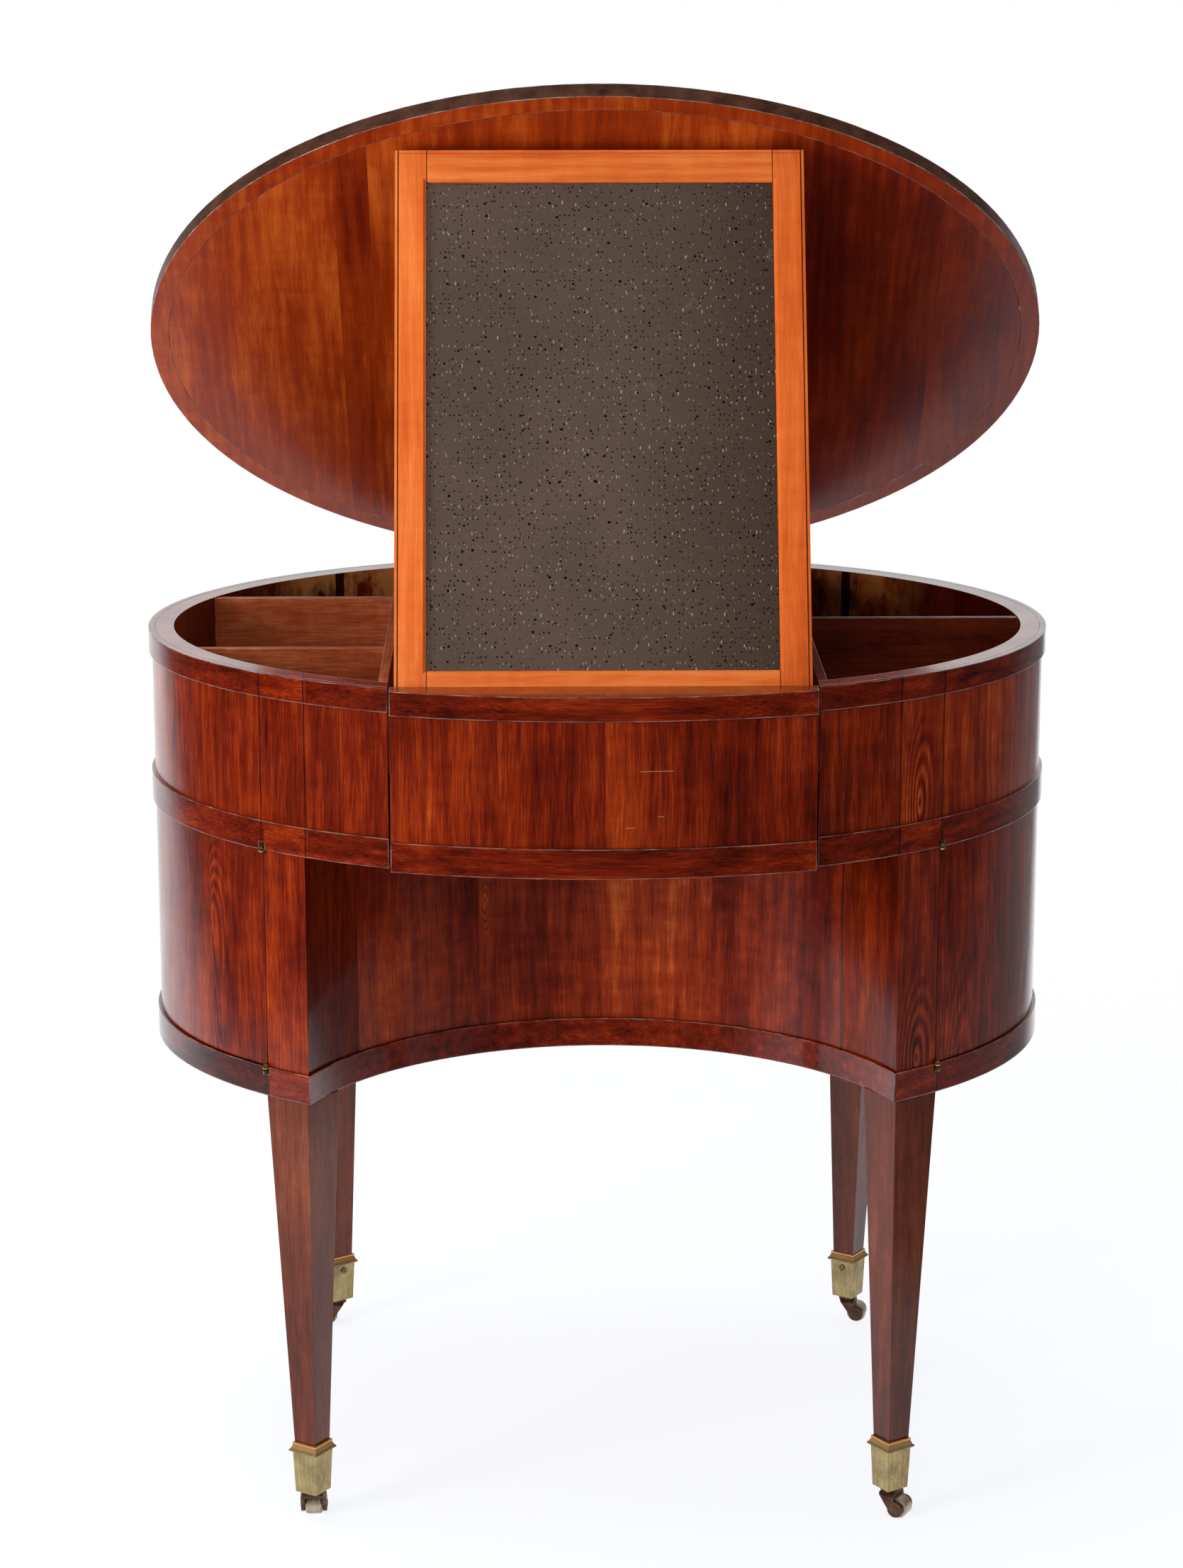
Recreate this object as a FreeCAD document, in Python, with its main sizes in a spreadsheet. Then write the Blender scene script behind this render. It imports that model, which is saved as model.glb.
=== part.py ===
import FreeCAD, Part
import os
import re

# Oval kneehole dressing table: hinged lid, mirror hung under the lid, bow-fronted drawer,
# two curved cupboard doors and four castors. Millimetres, X right, Y away from the sitter, Z up.
# The floor is Z = 0. Y is counted from the middle of the oval until plan_y moves it.

SIZES = {
    # the oval carcase, over the proud bands
    "half_width": 410,
    "half_depth": 328,
    "band_proud": 3,
    "band_let_in": 3,
    "wall": 20,
    "knee_wall": 18,
    # heights
    "base_bottom": 397,
    "base_band": 26,
    "mid_band_bottom": 621,
    "mid_band": 26,
    "rim_top": 778,
    "rim_band": 21,
    "mid_board": 14,
    # plan of the front: cupboard at each side, post on both sides of the kneehole's corner,
    # depth of the kneehole, and drawer opening inside the corners
    "side_bay": 154,
    "post_outside": 40,
    "post_inside": 40,
    "knee_depth": 241,
    "opening_inset": 73,
    # gaps: pieces glued along a curve, pieces that slide, pieces that turn
    "seat_gap": 0.3,
    "slide_gap": 0.3,
    "running_gap": 0.05,
    # inside the upper tier
    "partition": 8,
    "divider": 8,
    "divider_drop": 1,
    "left_divider_reach": 117,
    "right_divider_y": 12,
    "well_floor": 8,
    "well_depth": 68,
    "well_front_gap": 0.7,
    "ledge_extra": 2,
    # drawer
    "drawer_proud": 5,
    "drawer_rise": 27,
    "drawer_front_end": 18,
    "drawer_length": 400,
    "drawer_side": 9,
    "drawer_bottom": 6,
    "drawer_bottom_rise": 5,
    "drawer_side_gap": 2,
    "drawer_top_gap": 3,
    # doors and their pivots
    "door_gap": 1,
    "door_end_gap": 0.6,
    "pivot_ball": 3.1,
    "pivot_eye": 2.8,
    "pivot_eye_height": 3,
    "pivot_pin": 1.2,
    "pivot_tang": 1,
    "pivot_tang_length": 5,
    "pivot_plate_length": 26,
    "pivot_plate_width": 9,
    "pivot_plate": 1.5,
    "pivot_plate_inset": 4,
    "pivot_neck": 3,
    # lid and its hinges
    "lid_thickness": 15,
    "lid_overhang": 1.5,
    "lid_lipping": 17,
    "lid_gap": 0.5,
    "lid_angle": 46.9,
    "lid_hinge_out": 1,
    "lid_hinge_x": 70,
    "lid_hinge_width": 45,
    "lid_leaf_length": 26,
    "lid_barrel": 3,
    "lid_pin": 1.5,
    "leaf": 1.2,
    "knuckle_gap": 0.3,
    # mirror
    "mirror_side_room": 5.5,
    "mirror_lean": 24,
    "mirror_thickness": 20,
    "mirror_stile": 27,
    "mirror_rail": 28,
    "mirror_lip": 6,
    "mirror_rebate": 6,
    "sight_bevel": 2.5,
    "sight_bevel_deep": 3,
    "edge_bead": 2.5,
    "edge_quirk": 0.7,
    "glass_side_gap": 0.5,
    "glass": 4,
    "back_board": 7,
    "foot_drop": 14,
    "foot_clear": 1.2,
    "foot_seat": 0.7,
    "mirror_hinge_inset": 67.5,
    "mirror_hinge_width": 40,
    "mirror_leaf_length": 18,
    "mirror_barrel": 2.5,
    "mirror_pin": 1.2,
    "mirror_hinge_gap": 0.2,
    "mirror_axis_drop": 3,
    # legs
    "leg_top": 45,
    "leg_tip": 19.4,
    "leg_end": 33,
    "leg_angle": 33.4,
    "leg_inset_out": 3.5,
    "leg_inset_in": 2.5,
    "tenon_radius": 9,
    "tenon_length": 18,
    # castor sockets
    "socket_bottom": 27,
    "socket_top": 66,
    "socket_half_top": 12.7,
    "socket_half_bottom": 11.2,
    "socket_stub": 1.3,
    "socket_stub_radius": 8,
    "lip_half": 15.5,
    "lip_half_low": 14.4,
    "lip_half_high": 14.9,
    "lip_low": 1,
    "lip_high": 1.5,
    "cove_half_bottom": 14.3,
    "cove_half_top": 12.3,
    "cove": 4.4,
    "bead_half": 12.8,
    "bead": 1.7,
    "screw_radius": 3.3,
    "screw_head": 1,
    "screw_pin": 1.6,
    "screw_drop": 7,
    "screw_slot": 0.8,
    "screw_slot_turn": 40,
    # castors: the horn turns under the socket and carries the wheel behind
    "trail": 10,
    "wheel_radius": 9.5,
    "wheel_half": 7.4,
    "wheel_crown": 11.15,
    "axle_radius": 2,
    "axle_head": 0.6,
    "axle_head_radius": 3.2,
    "horn_half": 11.6,
    "horn_boss": 7.2,
    "horn_shoulder_rise": 2.8,
    "horn_front": 6.5,
    "horn_back": 8,
    "horn_shoulder": 16.5,
    "horn_side_gap": 0.6,
    "horn_wheel_gap": 0.8,
    "horn_neck": 8.5,
    "horn_neck_height": 2.2,
    "stem_radius": 3,
    "stem_length": 5,
    # one overrun for every cut
    "overrun": 1000,
}

WORKED = {
    # plan of the front
    "arris_x": "half_width - side_bay",
    "door_joint_x": "arris_x + post_outside",
    "knee_joint_x": "arris_x - post_inside",
    "knee_back": "half_depth - knee_depth",
    "opening_half": "arris_x - opening_inset",
    # kneehole: an arc through both corners of the oval and its own back
    "arris_y": "half_depth * sqrt(1 - (arris_x / half_width)^2)",
    "knee_radius": "(arris_x^2 + (arris_y - knee_back)^2) / (2 * (arris_y - knee_back))",
    "knee_centre": "-(knee_back + knee_radius)",
    "knee_wall_face": "knee_radius + band_proud",
    "knee_let_in": "knee_wall_face + band_let_in",
    "knee_room": "knee_wall_face + knee_wall",
    # oval faces behind the bands
    "wall_x": "half_width - band_proud",
    "wall_y": "half_depth - band_proud",
    "let_in_x": "wall_x - band_let_in",
    "let_in_y": "wall_y - band_let_in",
    "room_x": "wall_x - wall",
    "room_y": "wall_y - wall",
    # joints between doors and posts: the pivots stand on the face of the bands
    "door_joint_y": "half_depth * sqrt(1 - (door_joint_x / half_width)^2)",
    "door_joint_turn": "atan(half_depth^2 * door_joint_x / (half_width^2 * door_joint_y)) / 1 deg",
    "base_top": "base_bottom + base_band",
    "floor_top": "mid_band_bottom + mid_board",
    "well_top": "rim_top - well_depth",
    # drawer
    "drawer_bow": "half_depth + drawer_proud",
    "drawer_end": "drawer_bow - drawer_rise",
    "drawer_inner": "drawer_end - drawer_front_end",
    "well_front": "-(drawer_inner - well_front_gap)",
    "drawer_half": "opening_half - drawer_side_gap",
    "bow_radius": "(drawer_half^2 + drawer_rise^2) / (2 * drawer_rise)",
    "bow_centre": "bow_radius - drawer_bow",
    "drawer_low": "floor_top + slide_gap",
    "drawer_high": "well_top - well_floor - drawer_top_gap",
    "drawer_back": "drawer_length - drawer_inner",
    # lid hinge axis, at the level of the gap between lid and rim
    "hinge_y": "half_depth + lid_hinge_out",
    "hinge_z": "rim_top + lid_gap / 2",
    "lid_back_out": "(lid_overhang - lid_hinge_out) * cos(lid_angle)",
    "lid_back_up": "(lid_thickness + lid_gap / 2) * sin(lid_angle)",
    "lid_back": "hinge_y + lid_back_out + lid_back_up",
    # middle of the oval, placed so that the table with its raised lid stands centred
    "plan_y": "(drawer_bow - lid_back) / 2",
    # mirror: it hangs from the lid and its foot stands behind the drawer front,
    # so its length follows from how far the lid is raised and how much the mirror leans
    "foot_y": "drawer_inner - foot_clear",
    "foot_z": "rim_top - foot_drop",
    "mirror_half": "opening_half - mirror_side_room",
    "mirror_hinge_x": "mirror_half - mirror_hinge_inset",
    "mirror_axis_off": "mirror_barrel + mirror_hinge_gap",
    "mirror_axis_back": "mirror_thickness + mirror_axis_off",
    "lid_axis_low": "mirror_axis_off - lid_gap / 2",
    "foot_reach": "foot_y - mirror_axis_back * cos(mirror_lean)",
    "foot_rise": "foot_z - mirror_axis_back * sin(mirror_lean)",
    "reach_y": "hinge_y - lid_axis_low * sin(lid_angle) + foot_reach",
    "reach_z": "hinge_z - lid_axis_low * cos(lid_angle) - foot_rise",
    "mirror_axis_up": "(reach_y * sin(lid_angle) + reach_z * cos(lid_angle)) / cos(lid_angle - mirror_lean)",
    "mirror_hang": "(reach_y * cos(mirror_lean) - reach_z * sin(mirror_lean)) / cos(lid_angle - mirror_lean)",
    "mirror_length": "mirror_axis_up + mirror_axis_drop",
    "ledge_back": "-(foot_y - mirror_thickness * cos(mirror_lean) - ledge_extra)",
    # legs
    "leg_corner_x": "arris_x + leg_inset_out * cos(leg_angle) - leg_inset_in * sin(leg_angle)",
    "leg_corner_y": "arris_y - leg_inset_out * sin(leg_angle) - leg_inset_in * cos(leg_angle)",
    "leg_slope": "(leg_top - leg_tip) / (base_bottom - leg_end)",
    "leg_thin": "leg_tip + leg_slope * ((socket_bottom + socket_top) / 2 - leg_end)",
    "leg_at_screw": "leg_tip + leg_slope * (socket_top - screw_drop - leg_end)",
    "socket_taper": "(socket_half_top - socket_half_bottom) / (socket_top - socket_bottom)",
    "socket_at_screw": "socket_half_top - socket_taper * screw_drop",
    "castor_x": "leg_corner_x + leg_thin / 2 * (cos(leg_angle) - sin(leg_angle))",
    "castor_y": "leg_corner_y - leg_thin / 2 * (cos(leg_angle) + sin(leg_angle))",
    "horn_top_z": "socket_bottom - socket_stub - slide_gap",
    "horn_body_z": "horn_top_z - horn_neck_height",
    "horn_arch_z": "2 * wheel_radius + horn_wheel_gap",
    "axle_reach": "horn_half + axle_head",
}

LEFT, RIGHT = -1, 1
FRONT, BACK = -1, 1
SIDES = (("left", LEFT), ("right", RIGHT))
LEVELS = ("low", "high")
CORNERS = {
    "left_front": (LEFT, FRONT),
    "right_front": (RIGHT, FRONT),
    "left_back": (LEFT, BACK),
    "right_back": (RIGHT, BACK),
}
# how each leg's square is turned in plan, and its castor's screw
LEG_TURNS = {
    "left_front": "90 - leg_angle",
    "right_front": "leg_angle",
    "left_back": "180 + leg_angle",
    "right_back": "270 - leg_angle",
}
SCREW_TURNS = {
    "left_front": "90 - leg_angle",
    "right_front": "90 + leg_angle",
    "left_back": "270 + leg_angle",
    "right_back": "270 - leg_angle",
}
# where each castor trails, in degrees from +X
TRAIL_TURNS = {"left_front": "90", "right_front": "-30", "left_back": "180", "right_back": "-12"}

doc = FreeCAD.newDocument("DressingTable")
NODES = []


def make_sheet():
    sheet = doc.addObject("Spreadsheet::Sheet", "Sizes")
    for row, (alias, value) in enumerate(SIZES.items(), start=1):
        sheet.set("A%d" % row, alias)
        sheet.set("B%d" % row, str(value))
        sheet.setAlias("B%d" % row, alias)
    doc.recompute()


def with_owner(match):
    word = match.group(0)
    if word in SIZES:
        return "Sizes." + word
    if word in WORKED:
        return "Worked." + word
    return word


def formula(text):
    """Link the size names in a sum to the sheet or to the worked sizes."""
    return re.sub(r"[a-z][a-z0-9_]*", with_owner, text)


def make_worked():
    worked = doc.addObject("App::VarSet", "Worked")
    for name in WORKED:
        worked.addProperty("App::PropertyFloat", name, "Worked")
    for name, text in WORKED.items():
        worked.setExpression(name, formula(text))
    doc.recompute()


make_sheet()
make_worked()


def bind(thing, values):
    for name, text in values.items():
        thing.setExpression(name, formula(text))


def place(thing, point, turn="0", lean="0", local=False):
    """Put a thing at a point, leaned about X and then turned about Z."""
    x, y, z = point
    if not local:
        y = "plan_y + " + y
    spot = "vector(%s; %s; %s)" % (x, y, z)
    bind(thing, {"Placement": "placement(%s; rotationz(%s) * rotationx(%s))" % (spot, turn, lean)})


def box(name, xs, ys, zs, local=False):
    """A block between two values along each axis."""
    block = doc.addObject("Part::Box", name)
    bind(block, {
        "Length": "(%s) - (%s)" % (xs[1], xs[0]),
        "Width": "(%s) - (%s)" % (ys[1], ys[0]),
        "Height": "(%s) - (%s)" % (zs[1], zs[0]),
    })
    place(block, (xs[0], ys[0], zs[0]), local=local)
    return block


def turned_box(name, point, turn, sizes, starts, local=False):
    """A block in a frame turned about Z at a point. It runs from its starts by its sizes."""
    block = doc.addObject("Part::Box", name)
    bind(block, {"Length": sizes[0], "Width": sizes[1], "Height": sizes[2]})
    x, y, z = point
    run, side, rise = starts
    x = "%s + (%s) * cos(%s) - (%s) * sin(%s)" % (x, run, turn, side, turn)
    y = "%s + (%s) * sin(%s) + (%s) * cos(%s)" % (y, run, turn, side, turn)
    place(block, (x, y, "%s + %s" % (z, rise)), turn=turn, local=local)
    return block


def rod(name, centre, radius, zs, local=False):
    """An upright cylinder between two heights."""
    cylinder = doc.addObject("Part::Cylinder", name)
    bind(cylinder, {"Radius": radius, "Height": "(%s) - (%s)" % (zs[1], zs[0])})
    place(cylinder, (centre[0], centre[1], zs[0]), local=local)
    return cylinder


def x_rod(name, xs, y, z, radius):
    """A cylinder along X in a piece's own frame."""
    cylinder = doc.addObject("Part::Cylinder", name)
    bind(cylinder, {"Radius": radius, "Height": "(%s) - (%s)" % (xs[1], xs[0])})
    bind(cylinder, {"Placement": "placement(vector(%s; %s; %s); rotationy(90))" % (xs[0], y, z)})
    return cylinder


def y_rod(name, x, half, z, radius):
    """A cylinder along Y, the same length to both sides, in a piece's own frame."""
    cylinder = doc.addObject("Part::Cylinder", name)
    bind(cylinder, {"Radius": radius, "Height": "2 * (%s)" % half})
    bind(cylinder, {"Placement": "placement(vector(%s; %s; %s); rotationx(-90))" % (x, "-(%s)" % half, z)})
    return cylinder


def oval(name, halves, zs, centre_y="0", local=False, less="0"):
    outline = doc.addObject("Part::Ellipse", name + "_outline")
    bind(outline, {"MajorRadius": halves[0] + " - " + less, "MinorRadius": halves[1] + " - " + less})
    place(outline, ("0", centre_y, zs[0]), local=local)
    prism = doc.addObject("Part::Extrusion", name)
    prism.Base = outline
    prism.DirMode = "Custom"
    prism.Dir = FreeCAD.Vector(0, 0, 1)
    prism.Solid = True
    bind(prism, {"LengthFwd": "(%s) - (%s)" % (zs[1], zs[0])})
    return prism


def wedge(name, low, high, zs):
    """A block whose spans along X and Y change from its lower to its upper face."""
    (low_x, low_y), (high_x, high_y) = low, high
    block = doc.addObject("Part::Wedge", name)
    bind(block, {
        "Xmin": low_x[0], "Xmax": low_x[1], "Zmin": "-(%s)" % low_y[1], "Zmax": "-(%s)" % low_y[0],
        "X2min": high_x[0], "X2max": high_x[1], "Z2min": "-(%s)" % high_y[1], "Z2max": "-(%s)" % high_y[0],
        "Ymin": zs[0], "Ymax": zs[1],
    })
    return block


def taper(name, point, turn, low, high, zs):
    """A square tapered block. Low and high each give where its square starts and ends."""
    block = wedge(name, (low, low), (high, high), zs)
    place(block, (point[0], point[1], "0"), turn=turn, lean="90")
    return block


def centred(half):
    return ("-(%s)" % half, half)


def chain(kind, name, first, others):
    for number, other in enumerate(others, start=1):
        last = number == len(others)
        step = doc.addObject(kind, name if last else "%s_step_%d" % (name, number))
        step.Base = first
        step.Tool = other
        first = step
    return first


def cut(name, base, *tools):
    return chain("Part::Cut", name, base, tools)


def common(name, base, *tools):
    return chain("Part::Common", name, base, tools)


def fuse(name, *pieces):
    whole = doc.addObject("Part::MultiFuse", name)
    whole.Shapes = list(pieces)
    return whole


def group(name, *pieces):
    several = doc.addObject("Part::Compound", name)
    several.Links = list(pieces)
    return several


def keep(thing):
    """Hand in a finished piece under its own name."""
    NODES.append(thing)
    return thing


def signed(sign, text):
    return "(%s)" % text if sign > 0 else "-(%s)" % text


def outward(side, near, far):
    """The span along X from near to far on one side of the middle."""
    return (near, far) if side == RIGHT else ("-(%s)" % far, "-(%s)" % near)


BAND = ("half_width", "half_depth")
WALL = ("wall_x", "wall_y")
LET_IN = ("let_in_x", "let_in_y")
ROOM = ("room_x", "room_y")
EVERYWHERE = ("-overrun", "overrun")
FORWARD = ("-overrun", "0")
KNEE_MIDDLE = ("0", "knee_centre")


def ring(name, outer, inner, zs, gap="0"):
    """An oval hoop. The gap opens its inner face."""
    hole = oval(name + "_hole", inner, zs, less="(-%s)" % gap)
    return cut(name, oval(name + "_whole", outer, zs), hole)


def corner_turn(corner):
    """Angle of the line that runs along the wall from a door joint to its post."""
    side, end = CORNERS[corner]
    if side == LEFT:
        return "(%s)" % signed(end, "door_joint_turn")
    return "(180 + %s)" % signed(-end, "door_joint_turn")


def joint_point(corner, z):
    side, end = CORNERS[corner]
    return (signed(side, "door_joint_x"), signed(end, "door_joint_y"), z)


def beyond_joint(name, corner, start="0"):
    """All that lies on the post's side of a door joint."""
    sizes = ("overrun", "2 * overrun", "2 * overrun")
    starts = (start, "-overrun", "-overrun")
    return turned_box(name, joint_point(corner, "0"), corner_turn(corner), sizes, starts)


def pivot_levels(end):
    """Seam height, and which way is towards the door, at the lower or upper pivot."""
    if end == "low":
        return "base_top", 1
    return "mid_band_bottom", -1


def pivot_notch(name, corner, end):
    """Room for a pivot's ball and eye at the seam between door and band."""
    seam, towards = pivot_levels(end)
    ball_side = "(%s) + %s" % (seam, signed(towards, "pivot_ball + seat_gap"))
    eye_side = "(%s) - %s" % (seam, signed(towards, "pivot_ball + pivot_eye_height + 2 * seat_gap"))
    zs = (eye_side, ball_side) if towards > 0 else (ball_side, eye_side)
    point = joint_point(corner, "0")
    return rod(name, point[:2], "pivot_ball + seat_gap", zs)


def tang_hole(name, corner, end, gap):
    """The tang of a pivot's eye, driven square into the band."""
    side, front = CORNERS[corner]
    seam, towards = pivot_levels(end)
    rise = "pivot_ball + seat_gap + pivot_eye_height / 2"
    z = "(%s) - %s" % (seam, signed(towards, "(%s)" % rise))
    tang = doc.addObject("Part::Cylinder", name)
    bind(tang, {"Radius": "pivot_tang + " + gap, "Height": "pivot_tang_length + " + gap})
    inward = "(%s)" % (corner_turn(corner) + (" + 90" if side == LEFT else " - 90"))
    x, y, _ = joint_point(corner, "0")
    spot = "vector(%s; plan_y + %s; %s)" % (x, y, z)
    bind(tang, {"Placement": "placement(%s; rotationz(%s) * rotationy(90))" % (spot, inward)})
    return tang


FRONT_CORNERS = [corner for corner in CORNERS if CORNERS[corner][1] == FRONT]


def make_base():
    zs = ("base_bottom", "base_top")
    inside = rod("knee_inside", KNEE_MIDDLE, "knee_let_in", zs)
    blank = cut("base_blank", oval("base_oval", LET_IN, zs), inside)
    holes = []
    for corner in CORNERS:
        holes.append(leg_tenon("tenon_hole_" + corner, corner, "seat_gap"))
    keep(cut("base_board", blank, *holes))
    open_oval = oval("base_band_hole", LET_IN, zs, less="(-seat_gap)")
    open_knee = rod("base_band_knee_hole", KNEE_MIDDLE, "knee_let_in - seat_gap", zs)
    room = cut("base_band_room", open_oval, open_knee)
    knee_edge = rod("knee_edge", KNEE_MIDDLE, "knee_radius", zs)
    whole = cut("base_band_blank", oval("base_band_oval", BAND, zs), knee_edge)
    notches = [pivot_notch("base_notch_" + corner, corner, "low") for corner in FRONT_CORNERS]
    tangs = [tang_hole("base_tang_hole_" + corner, corner, "low", "running_gap") for corner in FRONT_CORNERS]
    keep(cut("base_band_strip", whole, room, *(notches + tangs)))


def leg_tenon(name, corner, gap):
    side, end = CORNERS[corner]
    turn = LEG_TURNS[corner]
    middle = "leg_top / 2"
    x = "%s + %s * (cos(%s) - sin(%s))" % (signed(side, "leg_corner_x"), middle, turn, turn)
    y = "%s + %s * (sin(%s) + cos(%s))" % (signed(end, "leg_corner_y"), middle, turn, turn)
    return rod(name, (x, y), "tenon_radius + " + gap, ("base_bottom", "base_bottom + tenon_length + " + gap))


def make_legs():
    for corner, (side, end) in CORNERS.items():
        point = (signed(side, "leg_corner_x"), signed(end, "leg_corner_y"))
        turn = LEG_TURNS[corner]
        leg_zs = ("leg_end", "base_bottom")
        stem = taper(corner + "_leg_stem", point, turn, ("0", "leg_tip"), ("0", "leg_top"), leg_zs)
        keep(fuse(corner + "_leg", stem, leg_tenon(corner + "_leg_tenon", corner, "0")))


def make_lower_tier():
    zs = ("base_top", "mid_band_bottom")
    knee = rod("tier_knee", KNEE_MIDDLE, "knee_wall_face", zs)
    room_knee = rod("tier_room_knee", KNEE_MIDDLE, "knee_room", zs)
    room = cut("tier_room", oval("tier_room_oval", ROOM, zs), room_knee)
    shell = cut("tier_shell", oval("tier_oval", WALL, zs), knee, room)
    knee_side = box("knee_wall_part", ("-knee_joint_x", "knee_joint_x"), FORWARD, zs)
    keep(common("kneehole_wall", shell, knee_side))
    back_side = box("back_wall_part", ("-knee_joint_x", "knee_joint_x"), ("0", "overrun"), zs)
    keep(common("lower_back_wall", shell, back_side))
    flanks = {}
    for name, side in SIDES:
        flanks[side] = box(name + "_flank", outward(side, "knee_joint_x", "overrun"), EVERYWHERE, zs)
    for corner, (side, end) in CORNERS.items():
        beyond = beyond_joint(corner + "_beyond", corner)
        if end == BACK:
            keep(common(corner + "_post", shell, flanks[side], beyond))
            continue
        blank = common(corner + "_post_blank", shell, flanks[side], beyond)
        notches = [pivot_notch("%s_notch_%s" % (corner, level), corner, level) for level in LEVELS]
        keep(cut(corner + "_post", blank, *notches))
    door_zs = ("base_top + door_end_gap", "mid_band_bottom - door_end_gap")
    ring = cut("door_ring", oval("door_ring_oval", WALL, zs), oval("door_ring_room", ROOM, zs))
    for name, side in SIDES:
        corners = [corner for corner in CORNERS if CORNERS[corner][0] == side]
        layer = box(name + "_door_layer", EVERYWHERE, EVERYWHERE, door_zs)
        tools = [beyond_joint("%s_door_%s_end" % (name, corner), corner, "-door_gap") for corner in corners]
        for level in LEVELS:
            front = name + "_front"
            tools.append(pivot_notch("%s_door_notch_%s" % (name, level), front, level))
            tools.append(pivot_plate("%s_door_recess_%s" % (name, level), front, level, "seat_gap"))
            tools.append(pivot_neck("%s_door_neck_bed_%s" % (name, level), front, level, "seat_gap"))
        keep(cut(name + "_door", common(name + "_door_blank", ring, flanks[side], layer), *tools))


def pivot_plate(name, corner, end, gap):
    """The plate of a door pivot, let into the end of the door."""
    side, _ = CORNERS[corner]
    seam, towards = pivot_levels(end)
    thick = "pivot_plate"
    rise = "door_end_gap" if towards > 0 else "-(door_end_gap + pivot_plate)"
    if gap != "0":
        thick = "pivot_plate + door_end_gap"
        rise = "0" if towards > 0 else "-(door_end_gap + pivot_plate)"
    inset = "pivot_plate_inset - " + gap
    if side == RIGHT:
        inset = "-(pivot_plate_inset + pivot_plate_width + %s)" % gap
    sizes = ("pivot_plate_length + " + gap, "pivot_plate_width + 2 * " + gap, thick)
    starts = ("-(pivot_plate_length + %s)" % gap, inset, rise)
    if gap == "0":
        sizes = ("pivot_plate_length - seat_gap",) + sizes[1:]
    return turned_box(name, joint_point(corner, "(%s)" % seam), corner_turn(corner), sizes, starts)


def pivot_neck(name, corner, end, gap):
    """The strap that joins a pivot's ball to its plate."""
    side, _ = CORNERS[corner]
    seam, towards = pivot_levels(end)
    rise = "door_end_gap" if towards > 0 else "-(door_end_gap + pivot_plate)"
    inset = "0" if side == LEFT else "-(pivot_plate_inset + pivot_neck)"
    sizes = ("pivot_neck - seat_gap", "pivot_plate_inset + pivot_neck", "pivot_plate")
    starts = ("-pivot_neck", inset, rise)
    if gap != "0":
        rise = "0" if towards > 0 else "-(door_end_gap + pivot_plate)"
        sizes = ("pivot_neck + seat_gap", "pivot_plate_inset + pivot_neck", "pivot_plate + door_end_gap")
        starts = ("-(pivot_neck + seat_gap)", inset, rise)
    return turned_box(name, joint_point(corner, "(%s)" % seam), corner_turn(corner), sizes, starts)


def make_pivots():
    eyes = []
    for side_name in ("left", "right"):
        corner = side_name + "_front"
        point = joint_point(corner, "0")[:2]
        pieces = []
        for level in LEVELS:
            name = "%s_pivot_%s" % (side_name, level)
            seam, towards = pivot_levels(level)
            ball = doc.addObject("Part::Sphere", name + "_ball")
            bind(ball, {"Radius": "pivot_ball"})
            place(ball, (point[0], point[1], seam))
            near = "(%s) - %s" % (seam, signed(towards, "(pivot_ball + seat_gap)"))
            far = "(%s) - %s" % (seam, signed(towards, "(pivot_ball + seat_gap + pivot_eye_height)"))
            eye_zs = (far, near) if towards > 0 else (near, far)
            pin_zs = (far, seam) if towards > 0 else (seam, far)
            pin = rod(name + "_pin", point, "pivot_pin", pin_zs)
            plate = pivot_plate(name + "_plate", corner, level, "0")
            pieces.append(fuse(name, ball, pin, plate, pivot_neck(name + "_neck", corner, level, "0")))
            eye = rod(name + "_eye_round", point, "pivot_eye", eye_zs)
            hole = rod(name + "_eye_hole", point, "pivot_pin + running_gap", eye_zs)
            tang = tang_hole(name + "_tang", corner, level, "0")
            eyes.append(cut(name + "_eye", fuse(name + "_eye_blank", eye, tang), hole))
        keep(group(side_name + "_door_pivots", *pieces))
    keep(group("pivot_eyes", *eyes))


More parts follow.
